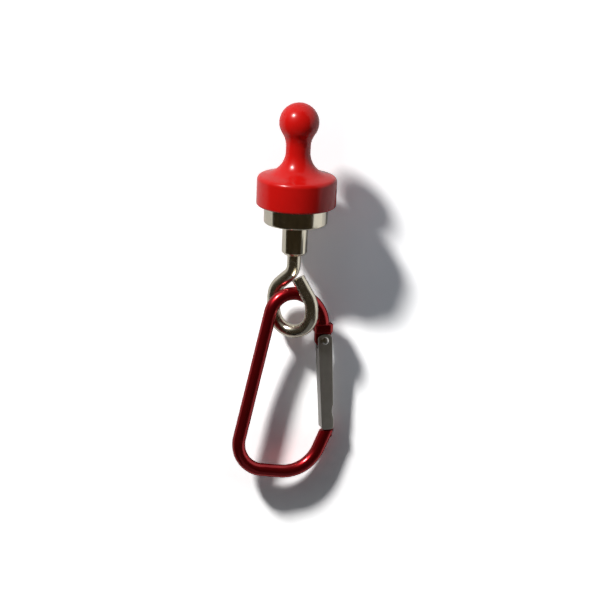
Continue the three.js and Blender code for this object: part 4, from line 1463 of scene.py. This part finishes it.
class HOOK_OT_stage(bpy.types.Operator):
    """Set the backdrop, lights and camera"""

    bl_idname = "hook.stage"
    bl_label = "Stage"

    def execute(self, context):
        scene = context.scene
        stage = scene.hook_stage
        self.backdrop(stage)
        self.lamp(scene, stage)
        self.room(scene, stage)
        self.painted_reflection_tent(stage)
        self.black_card()
        self.camera(scene, stage)
        scene.view_settings.view_transform = "Standard"
        return {"FINISHED"}

    def backdrop(self, stage):
        """Sheet of paper that leans back close behind the hook and curves into the floor in front."""
        half, top, front = 600 * MM, 300 * MM, -900 * MM
        bend, step, reach = 50 * MM, 4 * MM, 80 * MM
        heights = [stage.sheet_floor, stage.height_low, stage.height_gate, stage.height_eye]
        heights += [0.0, stage.height_top, top]
        foot_slope = (stage.sheet_gate - stage.sheet_low) / (stage.height_gate - stage.height_low)
        head_slope = (stage.sheet_top - stage.sheet_near) / stage.height_top
        depths = [stage.sheet_low + foot_slope * (stage.sheet_floor - stage.height_low)]
        depths += [stage.sheet_low, stage.sheet_gate, stage.sheet_eye, stage.sheet_near]
        depths += [stage.sheet_top, stage.sheet_top + head_slope * (top - stage.height_top)]

        def depth(z):
            """Mean over 16 mm of height, which rounds the bends."""
            return sum(between(z + 2 * MM * k, heights, depths) for k in range(-4, 5)) / 9

        def turn(z):
            return between(z, [stage.height_turn, 0.0], [math.tan(stage.turn_low), math.tan(stage.turn_near)])

        rows = round((top - stage.sheet_floor - bend) / step)
        wall = [Vector((0, depth(top - step * k), top - step * k)) for k in range(rows)]
        corner = Vector((0, depth(stage.sheet_floor), stage.sheet_floor))
        floor_end = Vector((0, front, stage.sheet_floor))
        line = wall + filleted([wall[-1], corner, floor_end], [bend * 0.9], samples=24)[1:]
        columns = [-half, -3 * reach] + [reach * k / 8 for k in range(-16, 17)] + [3 * reach, half]
        points = [
            [(x, p.y + math.tanh(x / reach) * reach * turn(p.z), p.z) for x in columns] for p in line
        ]
        mesh = sheet_of("backdrop", points)
        mesh.shade_smooth()
        paper = matt_backdrop_paper(stage)
        paper.use_transparent_shadow = False
        mesh.materials.append(paper)
        place(mesh, "backdrop")

    def lamp(self, scene, stage):
        """One small lamp at the upper left, in front."""
        light = bpy.data.lights.new("key_lamp", "AREA")
        light.shape = "DISK"
        light.size = stage.lamp_size
        light.energy = stage.lamp_power
        lamp = bpy.data.objects.new("key_lamp", light)
        lamp.location = HOOK_MIDDLE + TOWARDS_LAMP * stage.lamp_distance
        lamp.rotation_euler = TOWARDS_LAMP.to_track_quat("Z", "Y").to_euler()
        scene.collection.objects.link(lamp)

    def room(self, scene, stage):
        """Even room: dim and bluish as light, white to the camera and in mirrors."""
        world = bpy.data.worlds.new("room")
        world.use_nodes = True
        tree = world.node_tree
        tree.nodes.clear()
        path = add(tree, "ShaderNodeLightPath")
        seen = path.outputs["Is Camera Ray"]
        for kind in ("Is Glossy Ray", "Is Transmission Ray"):
            higher = add(tree, "ShaderNodeMath", {0: seen, 1: path.outputs[kind]}, operation="MAXIMUM")
            seen = higher.outputs[0]
        level = add(tree, "ShaderNodeMapRange", {"Value": seen, "To Min": stage.room_light, "To Max": 1.0})
        bluish, white = (0.85, 0.93, 1.05, 1.0), (1.0, 1.0, 1.0, 1.0)
        sky = add(tree, "ShaderNodeMix", {"Factor": seen, 6: bluish, 7: white}, data_type="RGBA")
        light = add(tree, "ShaderNodeBackground", {"Color": sky.outputs[2], "Strength": level.outputs[0]})
        add(tree, "ShaderNodeOutputWorld", {"Surface": light.outputs[0]})
        scene.world = world

    def painted_reflection_tent(self, stage):
        """Painted reflection: a dark tent in front that only mirrors see, which bright metal shows as its
        dark core, with a window for the lamp.
        """
        left, low, cell, columns, rows = -206, -75, 3.6, 52, 43
        bm = bmesh.new()
        grid = []
        for i in range(columns):
            around = math.radians(left + cell * i)
            column = []
            for j in range(rows):
                height = math.radians(low + cell * j)
                level = math.cos(height)
                direction = Vector((math.cos(around) * level, math.sin(around) * level, math.sin(height)))
                column.append((direction, bm.verts.new(HOOK_MIDDLE + direction * stage.tent)))
            grid.append(column)
        for before, after in zip(grid, grid[1:]):
            for first, second, third, last in zip(before, after, after[1:], before[1:]):
                middle = (first[0] + third[0]).normalized()
                if middle.angle(TOWARDS_LAMP) > stage.window:
                    bm.faces.new((first[1], second[1], third[1], last[1]))
        bmesh.ops.delete(bm, geom=[v for v in bm.verts if not v.link_faces], context="VERTS")
        mesh = mesh_of(bm, "painted_reflection_tent")
        mesh.materials.append(painted_reflection_glow(stage))
        tent = place(mesh, "painted_reflection_tent")
        # Hidden from the camera, from soft light and from shadows, so it is only a painted reflection
        tent.visible_camera = False
        tent.visible_diffuse = False
        tent.visible_shadow = False
        tent.visible_transmission = False

    def black_card(self):
        """Black card in front of the carabiner that stops only soft light, for a deep shadow on the paper."""
        left, right, low, high, forward = -32 * MM, 50 * MM, -108 * MM, -33 * MM, -32 * MM
        points = [[(x, forward, z) for x in (left, right)] for z in (high, low)]
        mesh = sheet_of("black_card", points)
        mesh.materials.append(black_flock())
        card = place(mesh, "black_card")
        card.visible_camera = False
        card.visible_glossy = False
        card.visible_shadow = False
        card.visible_transmission = False

    def camera(self, scene, stage):
        """Camera at the photograph's angle, with its roll."""
        back = Vector((0, -math.cos(stage.elevation), math.sin(stage.elevation)))
        right = Vector((1, 0, 0))
        up = back.cross(right)
        rolled_right = right * math.cos(stage.roll) + up * math.sin(stage.roll)
        rolled_up = up * math.cos(stage.roll) - right * math.sin(stage.roll)
        data = bpy.data.cameras.new("camera")
        data.lens = stage.focal
        data.sensor_width = 36.0
        data.clip_start = 0.01
        view = bpy.data.objects.new("camera", data)
        turn = Matrix((rolled_right, rolled_up, back)).transposed()
        spot = Vector((stage.target_x, 0, stage.target_z)) + back * stage.distance
        view.matrix_world = Matrix.Translation(spot) @ turn.to_4x4()
        scene.collection.objects.link(view)
        scene.camera = view


class HOOK_PT_panel(bpy.types.Panel):
    """Sizes, colours and makers of the hook's pieces"""

    bl_idname = "HOOK_PT_panel"
    bl_label = "Magnetic hook"
    bl_space_type = "VIEW_3D"
    bl_region_type = "UI"
    bl_category = "Hook"

    def draw(self, context):
        for maker in MAKERS:
            self.layout.operator(maker.bl_idname)
        for name, group in GROUPS.items():
            column = self.layout.column(align=True)
            column.label(text=name.replace("hook_", "").capitalize())
            for field in group.__annotations__:
                column.prop(getattr(context.scene, name), field)


MAKERS = (
    HOOK_OT_stage,
    HOOK_OT_skittle,
    HOOK_OT_pot,
    HOOK_OT_bush,
    HOOK_OT_eye,
    HOOK_OT_carabiner,
    HOOK_OT_gate,
    HOOK_OT_spring,
)


def register():
    for group in GROUPS.values():
        bpy.utils.register_class(group)
    for name, group in GROUPS.items():
        setattr(bpy.types.Scene, name, bpy.props.PointerProperty(type=group))
    for maker in MAKERS + (HOOK_PT_panel,):
        bpy.utils.register_class(maker)


def unregister():
    for maker in (HOOK_PT_panel,) + MAKERS[::-1]:
        bpy.utils.unregister_class(maker)
    for name in GROUPS:
        delattr(bpy.types.Scene, name)
    for group in GROUPS.values():
        bpy.utils.unregister_class(group)


def main():
    register()
    bpy.ops.hook.stage()
    bpy.ops.hook.skittle()
    bpy.ops.hook.pot()
    bpy.ops.hook.bush()
    bpy.ops.hook.eye()
    bpy.ops.hook.carabiner()
    bpy.ops.hook.gate()
    bpy.ops.hook.spring()


if __name__ == "__main__":
    main()
